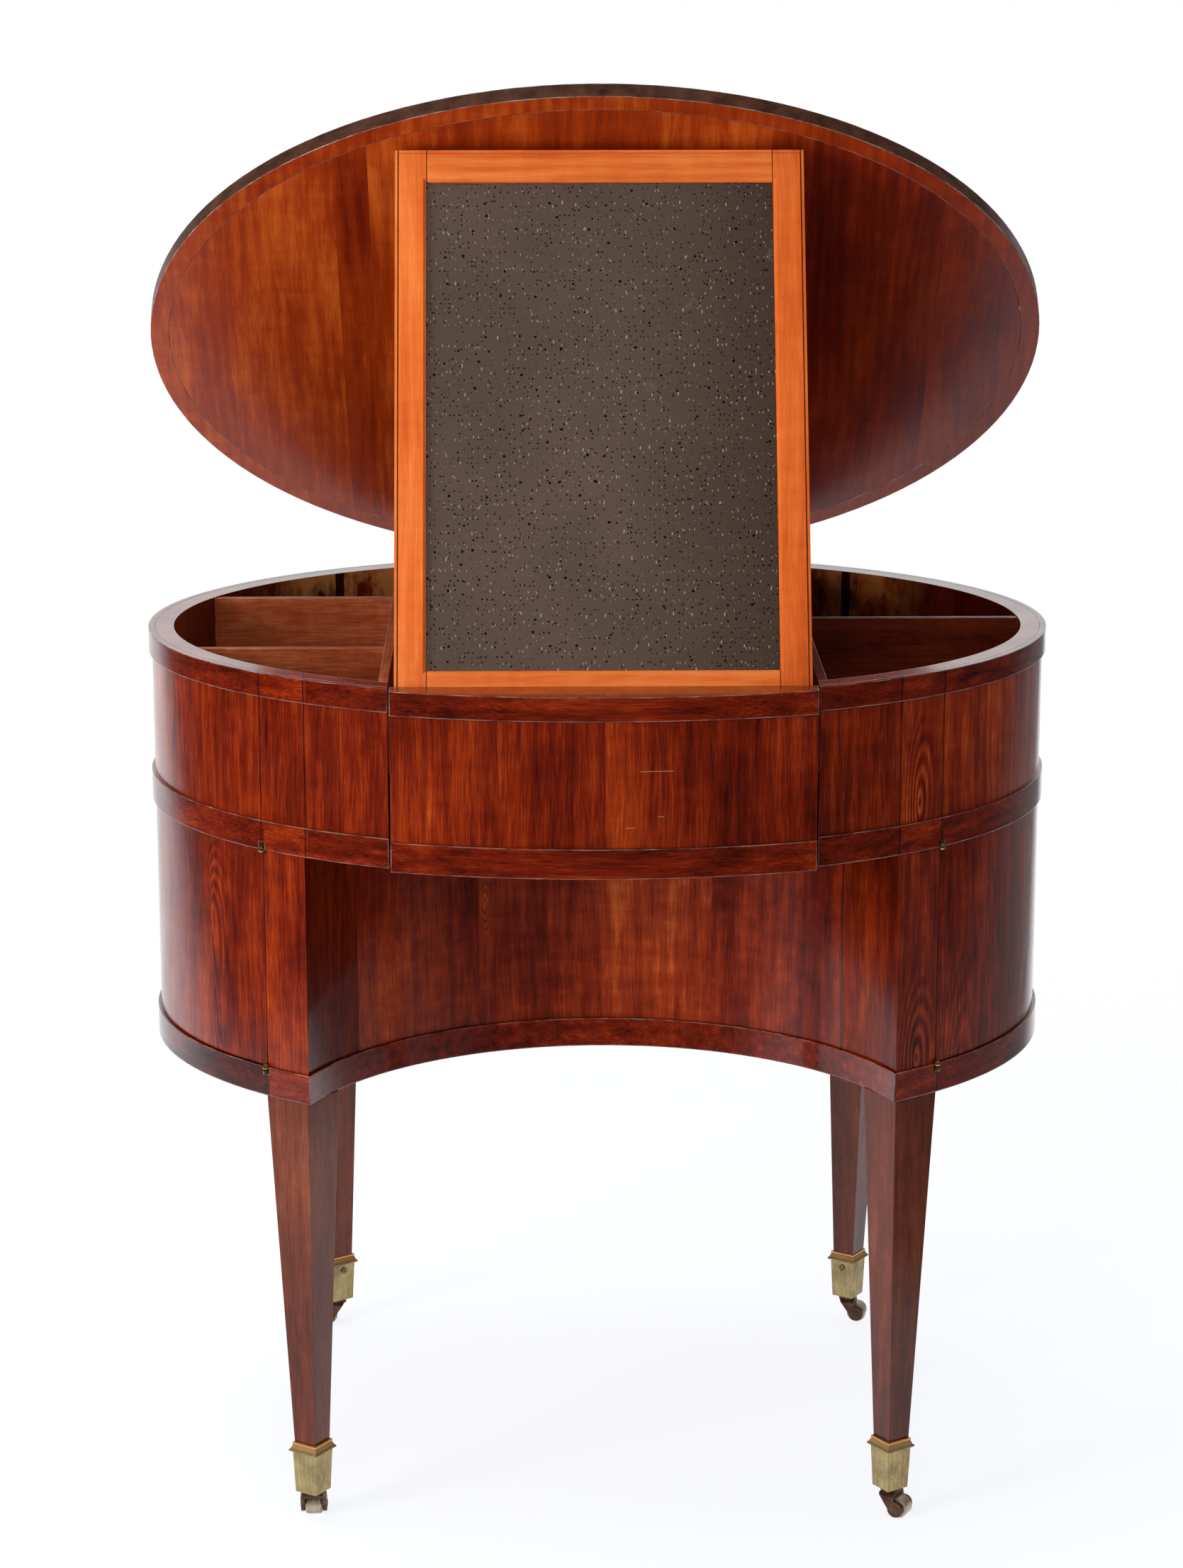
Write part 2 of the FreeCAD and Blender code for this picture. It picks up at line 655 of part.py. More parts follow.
def make_upper_tier():
    opening = box("drawer_opening", ("-opening_half", "opening_half"), FORWARD, ("0", "overrun"))
    board_zs = ("mid_band_bottom", "floor_top")
    notch = box("mid_board_notch", ("-opening_half", "opening_half"), ("-overrun", "well_front"), board_zs)
    keep(cut("mid_board_panel", oval("mid_board_oval", LET_IN, board_zs), notch))
    mid_zs = ("mid_band_bottom", "mid_band_bottom + mid_band")
    mid = ring("mid_ring", BAND, LET_IN, mid_zs, gap="seat_gap")
    notches = [pivot_notch("mid_notch_" + corner, corner, "high") for corner in FRONT_CORNERS]
    tangs = [tang_hole("mid_tang_hole_" + corner, corner, "high", "running_gap") for corner in FRONT_CORNERS]
    keep(cut("mid_band_strip", mid, opening, *(notches + tangs)))
    rim_zs = ("rim_top - rim_band", "rim_top")
    mortises = [lid_mortise("rim_mortise_" + word, side, "rim") for word, side in SIDES]
    rim = ring("rim_ring", BAND, LET_IN, rim_zs, gap="seat_gap")
    keep(cut("rim_band_strip", rim, opening, *mortises))
    wall_zs = ("floor_top", "rim_top")
    wall = ring("wall_ring", WALL, ROOM, wall_zs)
    low_rebate = ring("low_rebate", BAND, LET_IN, ("floor_top", "mid_band_bottom + mid_band"))
    high_rebate = ring("high_rebate", BAND, LET_IN, rim_zs)
    keep(cut("upper_wall", wall, opening, low_rebate, high_rebate, *mortises))
    room = oval("room_oval", ROOM, wall_zs, less="seat_gap")
    for name, side in SIDES:
        reach = outward(side, "opening_half", "opening_half + partition")
        keep(common(name + "_partition", box(name + "_partition_blank", reach, EVERYWHERE, wall_zs), room))
    divider_zs = ("floor_top", "rim_top - divider_drop")
    left_room = outward(LEFT, "opening_half + partition", "overrun")
    right_room = outward(RIGHT, "opening_half + partition", "overrun")
    left = []
    for number, side in enumerate((FRONT, BACK), start=1):
        middle = signed(side, "left_divider_reach")
        ys = ("%s - divider / 2" % middle, "%s + divider / 2" % middle)
        blank = box("left_divider_blank_%d" % number, left_room, ys, divider_zs)
        left.append(common("left_divider_%d" % number, blank, room))
    keep(group("left_dividers", *left))
    ys = ("right_divider_y - divider / 2", "right_divider_y + divider / 2")
    keep(common("right_divider", box("right_divider_blank", right_room, ys, divider_zs), room))
    well_zs = ("well_top - well_floor", "well_top")
    well = box("well_floor_blank", ("-opening_half", "opening_half"), ("well_front", "overrun"), well_zs)
    behind = cut("behind_room", box("behind_blank", EVERYWHERE, ("0", "overrun"), EVERYWHERE), room)
    keep(cut("well_floor_board", well, behind))
    ledge_zs = ("well_top", "rim_top")
    ledge = box("ledge_blank", ("-opening_half", "opening_half"), ("well_front", "ledge_back"), ledge_zs)
    above = doc.addObject("Part::Box", "above_ledge")
    bind(above, {"Length": "2 * overrun", "Width": "2 * overrun", "Height": "overrun"})
    drop = "(foot_seat)"
    y = "-foot_y - overrun * cos(mirror_lean) - %s * sin(mirror_lean)" % drop
    z = "foot_z + overrun * sin(mirror_lean) - %s * cos(mirror_lean)" % drop
    place(above, ("-overrun", y, z), lean="-mirror_lean")
    keep(cut("mirror_ledge", ledge, above))


def lid_mortise(name, side, piece):
    """The bed of a lid hinge in the rim or in the lid, with room for its barrel."""
    middle = signed(side, "lid_hinge_x")
    xs = ("%s - lid_hinge_width / 2 - seat_gap" % middle, "%s + lid_hinge_width / 2 + seat_gap" % middle)
    bed = "lid_leaf_length + seat_gap"
    if piece == "rim":
        ys = ("hinge_y - (%s)" % bed, "overrun")
        leaf_bed = box(name + "_bed", xs, ys, ("rim_top - leaf", "overrun"))
        barrel = x_rod(name + "_barrel", xs, "plan_y + hinge_y", "hinge_z", "lid_barrel + seat_gap")
    else:
        ys = ("-(%s)" % bed, "overrun")
        leaf_bed = box(name + "_bed", xs, ys, ("-overrun", "lid_gap / 2 + leaf"), local=True)
        barrel = x_rod(name + "_barrel", xs, "0", "0", "lid_barrel + seat_gap")
    return fuse(name, leaf_bed, barrel)


KNUCKLES = 3


def hinge_leaf(name, side, middle, width, barrel, pin, plates, outer):
    """One leaf of a hinge in the hinge's own frame: plate, knuckles, and pin or pin hole."""
    centre = signed(side, middle)
    start = "%s - %s / 2" % (centre, width)
    knuckle = "%s / %d" % (width, KNUCKLES)
    spans = []
    for number in range(KNUCKLES):
        low = "%s + %d * %s + knuckle_gap / 2" % (start, number, knuckle)
        high = "%s + %d * %s - knuckle_gap / 2" % (start, number + 1, knuckle)
        spans.append((low, high))
    own, other = spans[0::2], spans[1::2]
    if not outer:
        own, other = other, own
    whole = (start, "%s + %s" % (start, width))
    plate = box(name + "_plate", whole, plates[0], plates[1], local=True)
    room = []
    for number, (low, high) in enumerate(other):
        wide = ("%s - knuckle_gap" % low, "%s + knuckle_gap" % high)
        room.append(x_rod("%s_room_%d" % (name, number), wide, "0", "0", barrel + " + knuckle_gap"))
    cleared = cut(name + "_cleared", plate, *room)
    knuckles = []
    for number, span in enumerate(own):
        knuckles.append(x_rod("%s_knuckle_%d" % (name, number), span, "0", "0", barrel))
    body = fuse(name + "_body", cleared, *knuckles)
    if outer:
        return fuse(name, body, x_rod(name + "_pin", whole, "0", "0", pin))
    hole = x_rod(name + "_hole", ("-overrun", "overrun"), "0", "0", pin + " + running_gap")
    return cut(name, body, hole)


def leaf_pair(name, args, plates, outer):
    """The same leaf of the left and of the right hinge, as one piece."""
    leaves = [hinge_leaf("%s_%s" % (name, word), side, *args, plates, outer) for word, side in SIDES]
    return group(name, *leaves)


LID_SPOT = ("0", "hinge_y", "hinge_z")


def make_lid():
    zs = ("lid_gap / 2", "lid_gap / 2 + lid_thickness")
    edge = ("half_width + lid_overhang", "half_depth + lid_overhang")
    mortises = [lid_mortise("lid_mortise_" + word, side, "lid") for word, side in SIDES]
    whole = oval("lid_oval", edge, zs, centre_y="-hinge_y", local=True)
    inner = oval("lid_inner_oval", edge, zs, centre_y="-hinge_y", local=True, less="lid_lipping")
    panel = oval("lid_panel_oval", edge, zs, centre_y="-hinge_y", local=True, less="(lid_lipping + seat_gap)")
    pieces = [cut("lid_panel", panel, *mortises), cut("lid_lipping_strip", whole, inner, *mortises)]
    plates = (("-lid_leaf_length", "0"), ("lid_gap / 2", "lid_gap / 2 + leaf"))
    args = ("lid_hinge_x", "lid_hinge_width", "lid_barrel", "lid_pin")
    pieces.append(leaf_pair("lid_hinge_leaves", args, plates, False))
    for piece in pieces:
        place(piece, LID_SPOT, lean="-lid_angle")
        keep(piece)
    plates = (("-lid_leaf_length", "0"), ("-(lid_gap / 2 + leaf)", "-(lid_gap / 2)"))
    rim_leaves = leaf_pair("rim_hinge_leaves", args, plates, True)
    place(rim_leaves, LID_SPOT)
    keep(rim_leaves)


def mirror_axis_spot():
    y = "hinge_y - mirror_hang * cos(lid_angle) - lid_axis_low * sin(lid_angle)"
    z = "hinge_z + mirror_hang * sin(lid_angle) - lid_axis_low * cos(lid_angle)"
    return ("0", y, z)


def sight_bevel(inner):
    """The sloped edge of the frame round the glass, in the mirror's own frame."""
    bevel = doc.addObject("Part::Wedge", "mirror_sight_bevel")
    wide = "%s + sight_bevel" % inner
    bind(bevel, {
        "Xmin": "-(%s)" % wide, "Xmax": wide, "X2min": "-(%s)" % inner, "X2max": inner,
        "Zmin": "mirror_rail - sight_bevel", "Zmax": "mirror_length - mirror_rail + sight_bevel",
        "Z2min": "mirror_rail", "Z2max": "mirror_length - mirror_rail",
        "Ymin": "0", "Ymax": "sight_bevel_deep",
    })
    return bevel


def edge_quirk():
    """The fine groove that sets off the bead round the frame's outer edge."""
    deep = ("0", "edge_quirk")
    out, far = "mirror_half - edge_bead", "mirror_length - edge_bead"
    whole = box("mirror_quirk_whole", centred(out), deep, ("edge_bead", far), local=True)
    inside_zs = ("edge_bead + edge_quirk", far + " - edge_quirk")
    inside = box("mirror_quirk_inside", centred(out + " - edge_quirk"), deep, inside_zs, local=True)
    return cut("mirror_quirk", whole, inside)


def make_mirror():
    length = "mirror_length"
    inner = "mirror_half - mirror_stile"
    rebate_half = "mirror_half - mirror_stile + mirror_rebate"
    rebate_zs = ("mirror_rail - mirror_rebate", "mirror_length - mirror_rail + mirror_rebate")
    depth = ("0", "mirror_thickness")
    rebate_ys = ("mirror_lip", "overrun")
    rebate = box("mirror_rebate_room", centred(rebate_half), rebate_ys, rebate_zs, local=True)
    cuts = [rebate, sight_bevel(inner), edge_quirk()]
    pieces = []
    for name, side in SIDES:
        xs = outward(side, inner, "mirror_half")
        blank = box("mirror_%s_blank" % name, xs, depth, ("0", length), local=True)
        pieces.append(cut("mirror_%s_stile" % name, blank, *cuts))
    rail_xs = centred(inner)
    for name, zs in (("bottom", ("0", "mirror_rail")), ("top", ("mirror_length - mirror_rail", length))):
        blank = box("mirror_%s_rail_blank" % name, rail_xs, depth, zs, local=True)
        pieces.append(cut("mirror_%s_rail" % name, blank, *cuts))
    half = rebate_half + " - glass_side_gap"
    xs = centred(half)
    zs = (rebate_zs[0] + " + glass_side_gap", rebate_zs[1] + " - glass_side_gap")
    glass_ys = ("mirror_lip", "mirror_lip + glass")
    pieces.append(group("mirror_glass", box("mirror_glass_block", xs, glass_ys, zs, local=True)))
    back_ys = ("mirror_lip + glass", "mirror_lip + glass + back_board")
    pieces.append(group("mirror_back_board", box("mirror_back_block", xs, back_ys, zs, local=True)))
    for piece in pieces:
        place(piece, ("0", "-foot_y", "foot_z"), lean="-mirror_lean")
        keep(piece)
    args = ("mirror_hinge_x", "mirror_hinge_width", "mirror_barrel", "mirror_pin")
    plates = (("-mirror_axis_off", "leaf - mirror_axis_off"), ("-mirror_leaf_length", "0"))
    mirror_leaves = leaf_pair("mirror_hinge_leaves", args, plates, False)
    place(mirror_leaves, mirror_axis_spot(), lean="-mirror_lean")
    keep(mirror_leaves)
    plates = (("0", "mirror_leaf_length"), ("mirror_axis_off - leaf", "mirror_axis_off"))
    carrier = leaf_pair("mirror_carrier_leaves", args, plates, True)
    place(carrier, mirror_axis_spot(), lean="-lid_angle")
    keep(carrier)


def bow(name, less, zs, ys=("-overrun", "-drawer_inner")):
    """A slice of the drawer front, bowed outside and straight inside."""
    block = box(name + "_block", ("-drawer_half", "drawer_half"), ys, zs)
    return common(name, rod(name + "_round", ("0", "bow_centre"), "bow_radius - (%s)" % less, zs), block)


def make_drawer():
    zs = ("mid_band_bottom", "rim_top")
    low = ("mid_band_bottom", "mid_band_bottom + mid_band")
    high = ("rim_top - rim_band", "rim_top")
    rebates = []
    for name, layer in (("low", low), ("high", high)):
        radius = "bow_radius - band_proud - band_let_in"
        edge = rod("drawer_%s_edge" % name, ("0", "bow_centre"), radius, layer)
        block = box("drawer_%s_block" % name, EVERYWHERE, FORWARD, layer)
        rebates.append(cut("drawer_%s_rebate" % name, block, edge))
    keep(cut("drawer_front", bow("drawer_front_blank", "band_proud", zs), *rebates))
    for name, layer in (("mid", low), ("rim", high)):
        less = "band_proud + band_let_in - seat_gap"
        room = rod("drawer_%s_room" % name, ("0", "bow_centre"), "bow_radius - (%s)" % less, layer)
        keep(cut("drawer_%s_strip" % name, bow("drawer_%s_bow" % name, "0", layer), room))
    side_zs = ("drawer_low", "drawer_high")
    side_ys = ("-drawer_inner", "drawer_back")
    inner = "drawer_half - drawer_side"
    for name, side in SIDES:
        keep(box("drawer_%s_side" % name, outward(side, inner, "drawer_half"), side_ys, side_zs))
    across = centred(inner)
    keep(box("drawer_back_piece", across, ("drawer_back - drawer_side", "drawer_back"), side_zs))
    bottom = "drawer_low + drawer_bottom_rise"
    bottom_zs = (bottom, bottom + " + drawer_bottom")
    keep(box("drawer_bottom_board", across, ("-drawer_inner", "drawer_back - drawer_side"), bottom_zs))


def make_castors():
    screws = []
    for corner, (side, end) in CORNERS.items():
        middle = (signed(side, "castor_x"), signed(end, "castor_y"))
        make_socket(corner, middle)
        screws.append(make_screw(corner, middle))
        make_horn(corner, middle)
        make_wheel(corner, middle)
    keep(group("socket_screws", *screws))


def make_socket(corner, middle):
    """A square cup with a moulded lip round its mouth and a round stub under it."""
    layers = (
        ("cup", "socket_half_bottom", "socket_half_top", "socket_top - socket_bottom"),
        ("lip_low", "lip_half_low", "lip_half", "lip_low"),
        ("lip_high", "lip_half", "lip_half_high", "lip_high"),
        ("cove", "cove_half_bottom", "cove_half_top", "cove"),
        ("bead", "bead_half", "bead_half", "bead"),
    )
    low = "socket_bottom"
    pieces = []
    for word, low_half, high_half, height in layers:
        zs = (low, "%s + (%s)" % (low, height))
        name = "%s_socket_%s" % (corner, word)
        pieces.append(taper(name, middle, LEG_TURNS[corner], centred(low_half), centred(high_half), zs))
        low = zs[1]
    stub_zs = ("socket_bottom - socket_stub", "socket_bottom")
    pieces.append(rod(corner + "_socket_stub", middle, "socket_stub_radius", stub_zs))
    blank = fuse(corner + "_socket_blank", *pieces)
    side, end = CORNERS[corner]
    point = (signed(side, "leg_corner_x"), signed(end, "leg_corner_y"))
    hole_low = ("-seat_gap", "leg_tip + seat_gap")
    hole_high = ("-seat_gap", "leg_top + seat_gap")
    leg_zs = ("leg_end", "base_bottom")
    hole = taper(corner + "_socket_hole", point, LEG_TURNS[corner], hole_low, hole_high, leg_zs)
    stem_zs = ("0", "socket_bottom + stem_length + slide_gap")
    stem = rod(corner + "_stem_hole", middle, "stem_radius + running_gap", stem_zs)
    screw = screw_rod(corner + "_screw_hole", "screw_pin + running_gap", ("0", "overrun"))
    to_socket(screw, corner, middle)
    keep(cut(corner + "_castor_socket", blank, hole, stem, screw))


def to_socket(thing, corner, middle):
    """Move a thing from the screw's own frame, with X out of the socket, to its place."""
    place(thing, (middle[0], middle[1], "socket_top - screw_drop"), turn=SCREW_TURNS[corner])


def screw_rod(name, radius, xs):
    start = doc.addObject("Part::Cylinder", name + "_round")
    bind(start, {"Radius": radius, "Height": "(%s) - (%s)" % (xs[1], xs[0])})
    bind(start, {"Placement": "placement(vector(%s; 0; 0); rotationy(90))" % xs[0]})
    return group(name, start)


def make_screw(corner, middle):
    name = corner + "_screw"
    head_xs = ("socket_at_screw + slide_gap / 2", "socket_at_screw + slide_gap / 2 + screw_head")
    leg_face = "leg_at_screw - leg_thin / 2 + seat_gap"
    head = screw_rod(name + "_head", "screw_radius", head_xs)
    pin = screw_rod(name + "_pin", "screw_pin", (leg_face, head_xs[1]))
    slot = doc.addObject("Part::Box", name + "_slot")
    bind(slot, {"Length": "screw_head", "Width": "screw_slot", "Height": "2 * screw_radius"})
    across, up = "screw_slot / 2", "screw_radius"
    turn = "screw_slot_turn"
    y = "%s * sin(%s) - %s * cos(%s)" % (up, turn, across, turn)
    z = "-(%s * cos(%s)) - %s * sin(%s)" % (up, turn, across, turn)
    spot = "vector(%s + screw_head / 2; %s; %s)" % (head_xs[0], y, z)
    bind(slot, {"Placement": "placement(%s; rotationx(%s))" % (spot, turn)})
    screw = cut(name, fuse(name + "_blank", head, pin), slot)
    to_socket(screw, corner, middle)
    return screw


def make_horn(corner, middle):
    """The horn: an arm that sweeps down to a cheek on each side of the wheel, with stem and axle."""
    name = corner + "_castor_horn"
    wide = centred("horn_half")
    foot = (("trail - horn_boss", "trail"), wide)
    head = (("-horn_front", "horn_back"), wide)
    arm = wedge(name + "_arm", foot, head, ("wheel_radius", "horn_body_z"))
    place(arm, ("0", "0", "0"), lean="90", local=True)
    boss = y_rod(name + "_boss", "trail", "horn_half", "wheel_radius", "horn_boss")
    shoulder_xs = ("-(horn_neck + trail)", "2 * trail + horn_neck")
    shoulder_z = "horn_body_z - horn_shoulder + horn_shoulder_rise"
    shoulder = x_rod(name + "_shoulder", shoulder_xs, "0", shoulder_z, "horn_shoulder")
    trimmed = common(name + "_trimmed", fuse(name + "_sides", arm, boss), shoulder)
    neck_zs = ("horn_body_z - horn_neck_height / 2", "horn_top_z")
    neck = rod(name + "_neck", ("0", "0"), "horn_neck", neck_zs, local=True)
    body = fuse(name + "_body", trimmed, neck)
    side_room = "wheel_half + horn_side_gap"
    arch = y_rod(name + "_arch", "trail", side_room, "wheel_radius", "wheel_radius + horn_wheel_gap")
    front_zs = ("-overrun", "horn_arch_z")
    open_front = box(name + "_front", ("-overrun", "trail"), centred(side_room), front_zs, local=True)
    slotted = cut(name + "_slotted", body, arch, open_front)
    axle = y_rod(name + "_axle", "trail", "horn_half", "wheel_radius", "axle_radius")
    rivet = y_rod(name + "_rivet", "trail", "axle_reach", "wheel_radius", "axle_head_radius")
    between = y_rod(name + "_between", "trail", "horn_half", "wheel_radius", "horn_boss")
    rivet_heads = cut(name + "_heads", rivet, between)
    stem_zs = ("horn_body_z", "socket_bottom + stem_length")
    stem = rod(name + "_stem", ("0", "0"), "stem_radius", stem_zs, local=True)
    horn = fuse(name, slotted, axle, rivet_heads, stem)
    place(horn, (middle[0], middle[1], "0"), turn=TRAIL_TURNS[corner])
    keep(horn)


def make_wheel(corner, middle):
    """A wheel whose tread is rounded at both edges, on the axle of its horn."""
    name = corner + "_castor_wheel"
    disc = y_rod(name + "_disc", "trail", "wheel_half", "wheel_radius", "wheel_radius")
    crown = doc.addObject("Part::Sphere", name + "_crown")
    bind(crown, {"Radius": "wheel_crown"})
    place(crown, ("trail", "0", "wheel_radius"), local=True)
    hole = y_rod(name + "_hole", "trail", "overrun", "wheel_radius", "axle_radius + running_gap")
    wheel = cut(name, common(name + "_blank", disc, crown), hole)
    place(wheel, (middle[0], middle[1], "0"), turn=TRAIL_TURNS[corner])
    keep(wheel)


make_base()
make_legs()
make_lower_tier()
make_pivots()
make_upper_tier()
make_lid()
make_mirror()
make_drawer()
make_castors()
doc.recompute()

# every worked object must be sound before anything is written
for thing in doc.Objects:
    if "Invalid" in thing.State or "Error" in thing.State:
        raise RuntimeError("not computed: " + thing.Label)
for piece in NODES:
    if piece.Shape.isNull() or not piece.Shape.isValid() or not piece.Shape.Solids:
        raise RuntimeError("no sound solid: " + piece.Label)

os.makedirs("parts", exist_ok=True)
for piece in NODES:
    piece.Shape.exportStep("parts/%s.step" % piece.Label)
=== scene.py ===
import math
from types import SimpleNamespace

import bpy
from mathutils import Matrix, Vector


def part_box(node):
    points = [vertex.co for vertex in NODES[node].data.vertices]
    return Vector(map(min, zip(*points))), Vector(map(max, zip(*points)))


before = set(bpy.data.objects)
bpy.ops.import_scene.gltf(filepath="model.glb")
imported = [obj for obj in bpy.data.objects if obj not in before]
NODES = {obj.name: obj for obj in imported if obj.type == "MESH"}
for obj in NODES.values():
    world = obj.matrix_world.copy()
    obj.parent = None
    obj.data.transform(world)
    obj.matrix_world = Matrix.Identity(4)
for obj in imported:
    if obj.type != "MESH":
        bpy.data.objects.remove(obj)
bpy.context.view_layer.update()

# Sizes of the table in metres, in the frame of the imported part
HALF_WIDTH = 0.410
HALF_DEPTH = 0.328
OVAL_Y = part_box("rim_band_strip")[1].y - HALF_DEPTH
LID_ANGLE = math.radians(46.9)
MIRROR_LEAN = math.radians(24.0)
DOOR_SEAM = 0.296
POST_SEAM = 0.256

# Colours of each wood, from its darkest streaks to its palest
POLISH = (
    (0.010, 0.0006, 0.0002),
    (0.055, 0.0030, 0.0004),
    (0.165, 0.0105, 0.0008),
    (0.33, 0.034, 0.0025),
    (0.60, 0.11, 0.012),
)
ORANGE = (
    (0.22, 0.020, 0.002),
    (0.44, 0.058, 0.006),
    (0.64, 0.105, 0.013),
    (0.80, 0.160, 0.026),
    (0.92, 0.240, 0.050),
)
INSIDE = (
    (0.022, 0.002, 0.0008),
    (0.085, 0.010, 0.003),
    (0.19, 0.028, 0.009),
    (0.34, 0.070, 0.022),
    (0.58, 0.18, 0.065),
)
BARE = (
    (0.10, 0.035, 0.012),
    (0.19, 0.078, 0.028),
    (0.30, 0.145, 0.058),
    (0.43, 0.235, 0.105),
    (0.55, 0.34, 0.17),
)
SMOKED = (
    (0.010, 0.0015, 0.0008),
    (0.030, 0.005, 0.002),
    (0.080, 0.013, 0.005),
    (0.16, 0.030, 0.010),
    (0.27, 0.062, 0.022),
)
JOINT_COLOR = (0.008, 0.002, 0.001)
SCRATCH_COLOR = (0.55, 0.22, 0.10)
CHIP_COLOR = (0.62, 0.24, 0.08)
OCHRE = (0.50, 0.22, 0.065)


class Graph:
    """Nodes of a material or a world, with short calls for the ones used here."""

    def __init__(self, owner):
        owner.use_nodes = True
        self.tree = owner.node_tree
        self.tree.nodes.clear()

    def node(self, kind, **values):
        made = self.tree.nodes.new(kind)
        for key, value in values.items():
            setattr(made, key, value)
        return made

    def put(self, socket, value):
        """Link a socket to another one, or give it a constant."""
        if isinstance(value, bpy.types.NodeSocket):
            self.tree.links.new(value, socket)
        else:
            socket.default_value = value

    def put_all(self, sockets, values):
        for socket, value in zip(sockets, values):
            self.put(socket, value)

    def math(self, kind, *values):
        made = self.node("ShaderNodeMath", operation=kind)
        self.put_all(made.inputs, values)
        return made.outputs[0]

    def plus(self, first, second):
        return self.math("ADD", first, second)

    def minus(self, first, second):
        return self.math("SUBTRACT", first, second)

    def times(self, first, second):
        return self.math("MULTIPLY", first, second)

    def over(self, first, second):
        return self.math("DIVIDE", first, second)

    def above(self, value, limit):
        return self.math("GREATER_THAN", value, limit)

    def below(self, value, limit):
        return self.math("LESS_THAN", value, limit)

    def between(self, value, low, high):
        return self.times(self.above(value, low), self.below(value, high))

    def gap(self, value, place):
        """Distance of a value from a place, always positive."""
        return self.math("ABSOLUTE", self.minus(value, place))

    def reach(self, first, second):
        """Length of the line that two numbers span."""
        return self.math("SQRT", self.plus(self.times(first, first), self.times(second, second)))

    def split(self, vector):
        made = self.node("ShaderNodeSeparateXYZ")
        self.put(made.inputs[0], vector)
        return made.outputs

    def join(self, x, y, z):
        made = self.node("ShaderNodeCombineXYZ")
        self.put_all(made.inputs, (x, y, z))
        return made.outputs[0]

    def grey(self, value, low, high, first=0.0, last=1.0):
        """Carry a value from one range to another, clamped."""
        made = self.node("ShaderNodeMapRange")
        self.put_all(made.inputs, (value, low, high, first, last))
        return made.outputs[0]

    def mix(self, factor, first, second):
        """Mix of two colours."""
        made = self.node("ShaderNodeMix", data_type="RGBA")
        self.put(made.inputs[0], factor)
        for socket, color in zip((made.inputs[6], made.inputs[7]), (first, second)):
            self.put(socket, color + (1.0,) if isinstance(color, tuple) else color)
        return made.outputs[2]

    def blend(self, factor, first, second):
        """Mix of two shaders."""
        made = self.node("ShaderNodeMixShader")
        self.put_all(made.inputs, (factor, first, second))
        return made.outputs[0]

    def shine(self, kind, color, power):
        """A shader that gives light of one colour."""
        made = self.node(kind)
        self.put_all(made.inputs, (color + (1.0,), power))
        return made.outputs[0]


class Surface(Graph):
    """A material: one principled shader, object coordinates and procedural textures."""

    def __init__(self, name):
        self.mat = bpy.data.materials.new(name)
        super().__init__(self.mat)
        self.bsdf = self.node("ShaderNodeBsdfPrincipled")
        self.end = self.node("ShaderNodeOutputMaterial").inputs[0]
        self.put(self.end, self.bsdf.outputs[0])
        self.coord = self.node("ShaderNodeTexCoord").outputs["Object"]
        self.x, self.y, self.z = self.split(self.coord)
        self.true = self.node("ShaderNodeNewGeometry").outputs["True Normal"]

    def shade(self, **values):
        """Put values on the shader's inputs, named with underscores for spaces."""
        for key, value in values.items():
            self.put(self.bsdf.inputs[key.replace("_", " ")], value)

    def turned(self, angle):
        """Coordinates turned about the x axis."""
        made = self.node("ShaderNodeMapping")
        self.put_all((made.inputs["Vector"], made.inputs["Rotation"]), (self.coord, (angle, 0, 0)))
        return self.split(made.outputs[0])

    def around(self):
        """Coordinates on the oval: distance along the wall, depth in the wall, height."""
        mean_radius = 0.37
        middle = self.minus(self.y, OVAL_Y)
        turn = self.math("ARCTAN2", self.over(self.x, HALF_WIDTH), self.over(middle, -HALF_DEPTH))
        return self.times(turn, mean_radius), self.reach(self.x, middle), self.z

    def noise(self, vector, scale, detail=3.0, rough=0.5):
        made = self.node("ShaderNodeTexNoise")
        sockets = (made.inputs[key] for key in ("Vector", "Scale", "Detail", "Roughness"))
        self.put_all(sockets, (vector, scale, detail, rough))
        return made.outputs[0]

    def ramp(self, value, stops, kind="LINEAR"):
        made = self.node("ShaderNodeValToRGB")
        made.color_ramp.interpolation = kind
        points = made.color_ramp.elements
        while len(points) < len(stops):
            points.new(0.5)
        for point, (place, color) in zip(list(points), stops):
            point.position = place
            point.color = color + (1.0,)
        self.put(made.inputs[0], value)
        return made.outputs[0]

    def facing(self, way):
        """How far the face looks in a direction."""
        made = self.node("ShaderNodeVectorMath", operation="DOT_PRODUCT")
        self.put_all(made.inputs, (self.true, way))
        return made.outputs["Value"]

    def arris(self, radius):
        """Normal with rounded arrises, and a mask that is one where it turns off the face."""
        made = self.node("ShaderNodeBevel", samples=4)
        made.inputs["Radius"].default_value = radius
        normal = made.outputs[0]
        return normal, self.grey(self.facing(normal), 0.985, 0.80)

    def bump(self, height, strength, distance, normal):
        made = self.node("ShaderNodeBump")
        sockets = (made.inputs[key] for key in ("Height", "Strength", "Distance", "Normal"))
        self.put_all(sockets, (height, strength, distance, normal))
        return made.outputs[0]


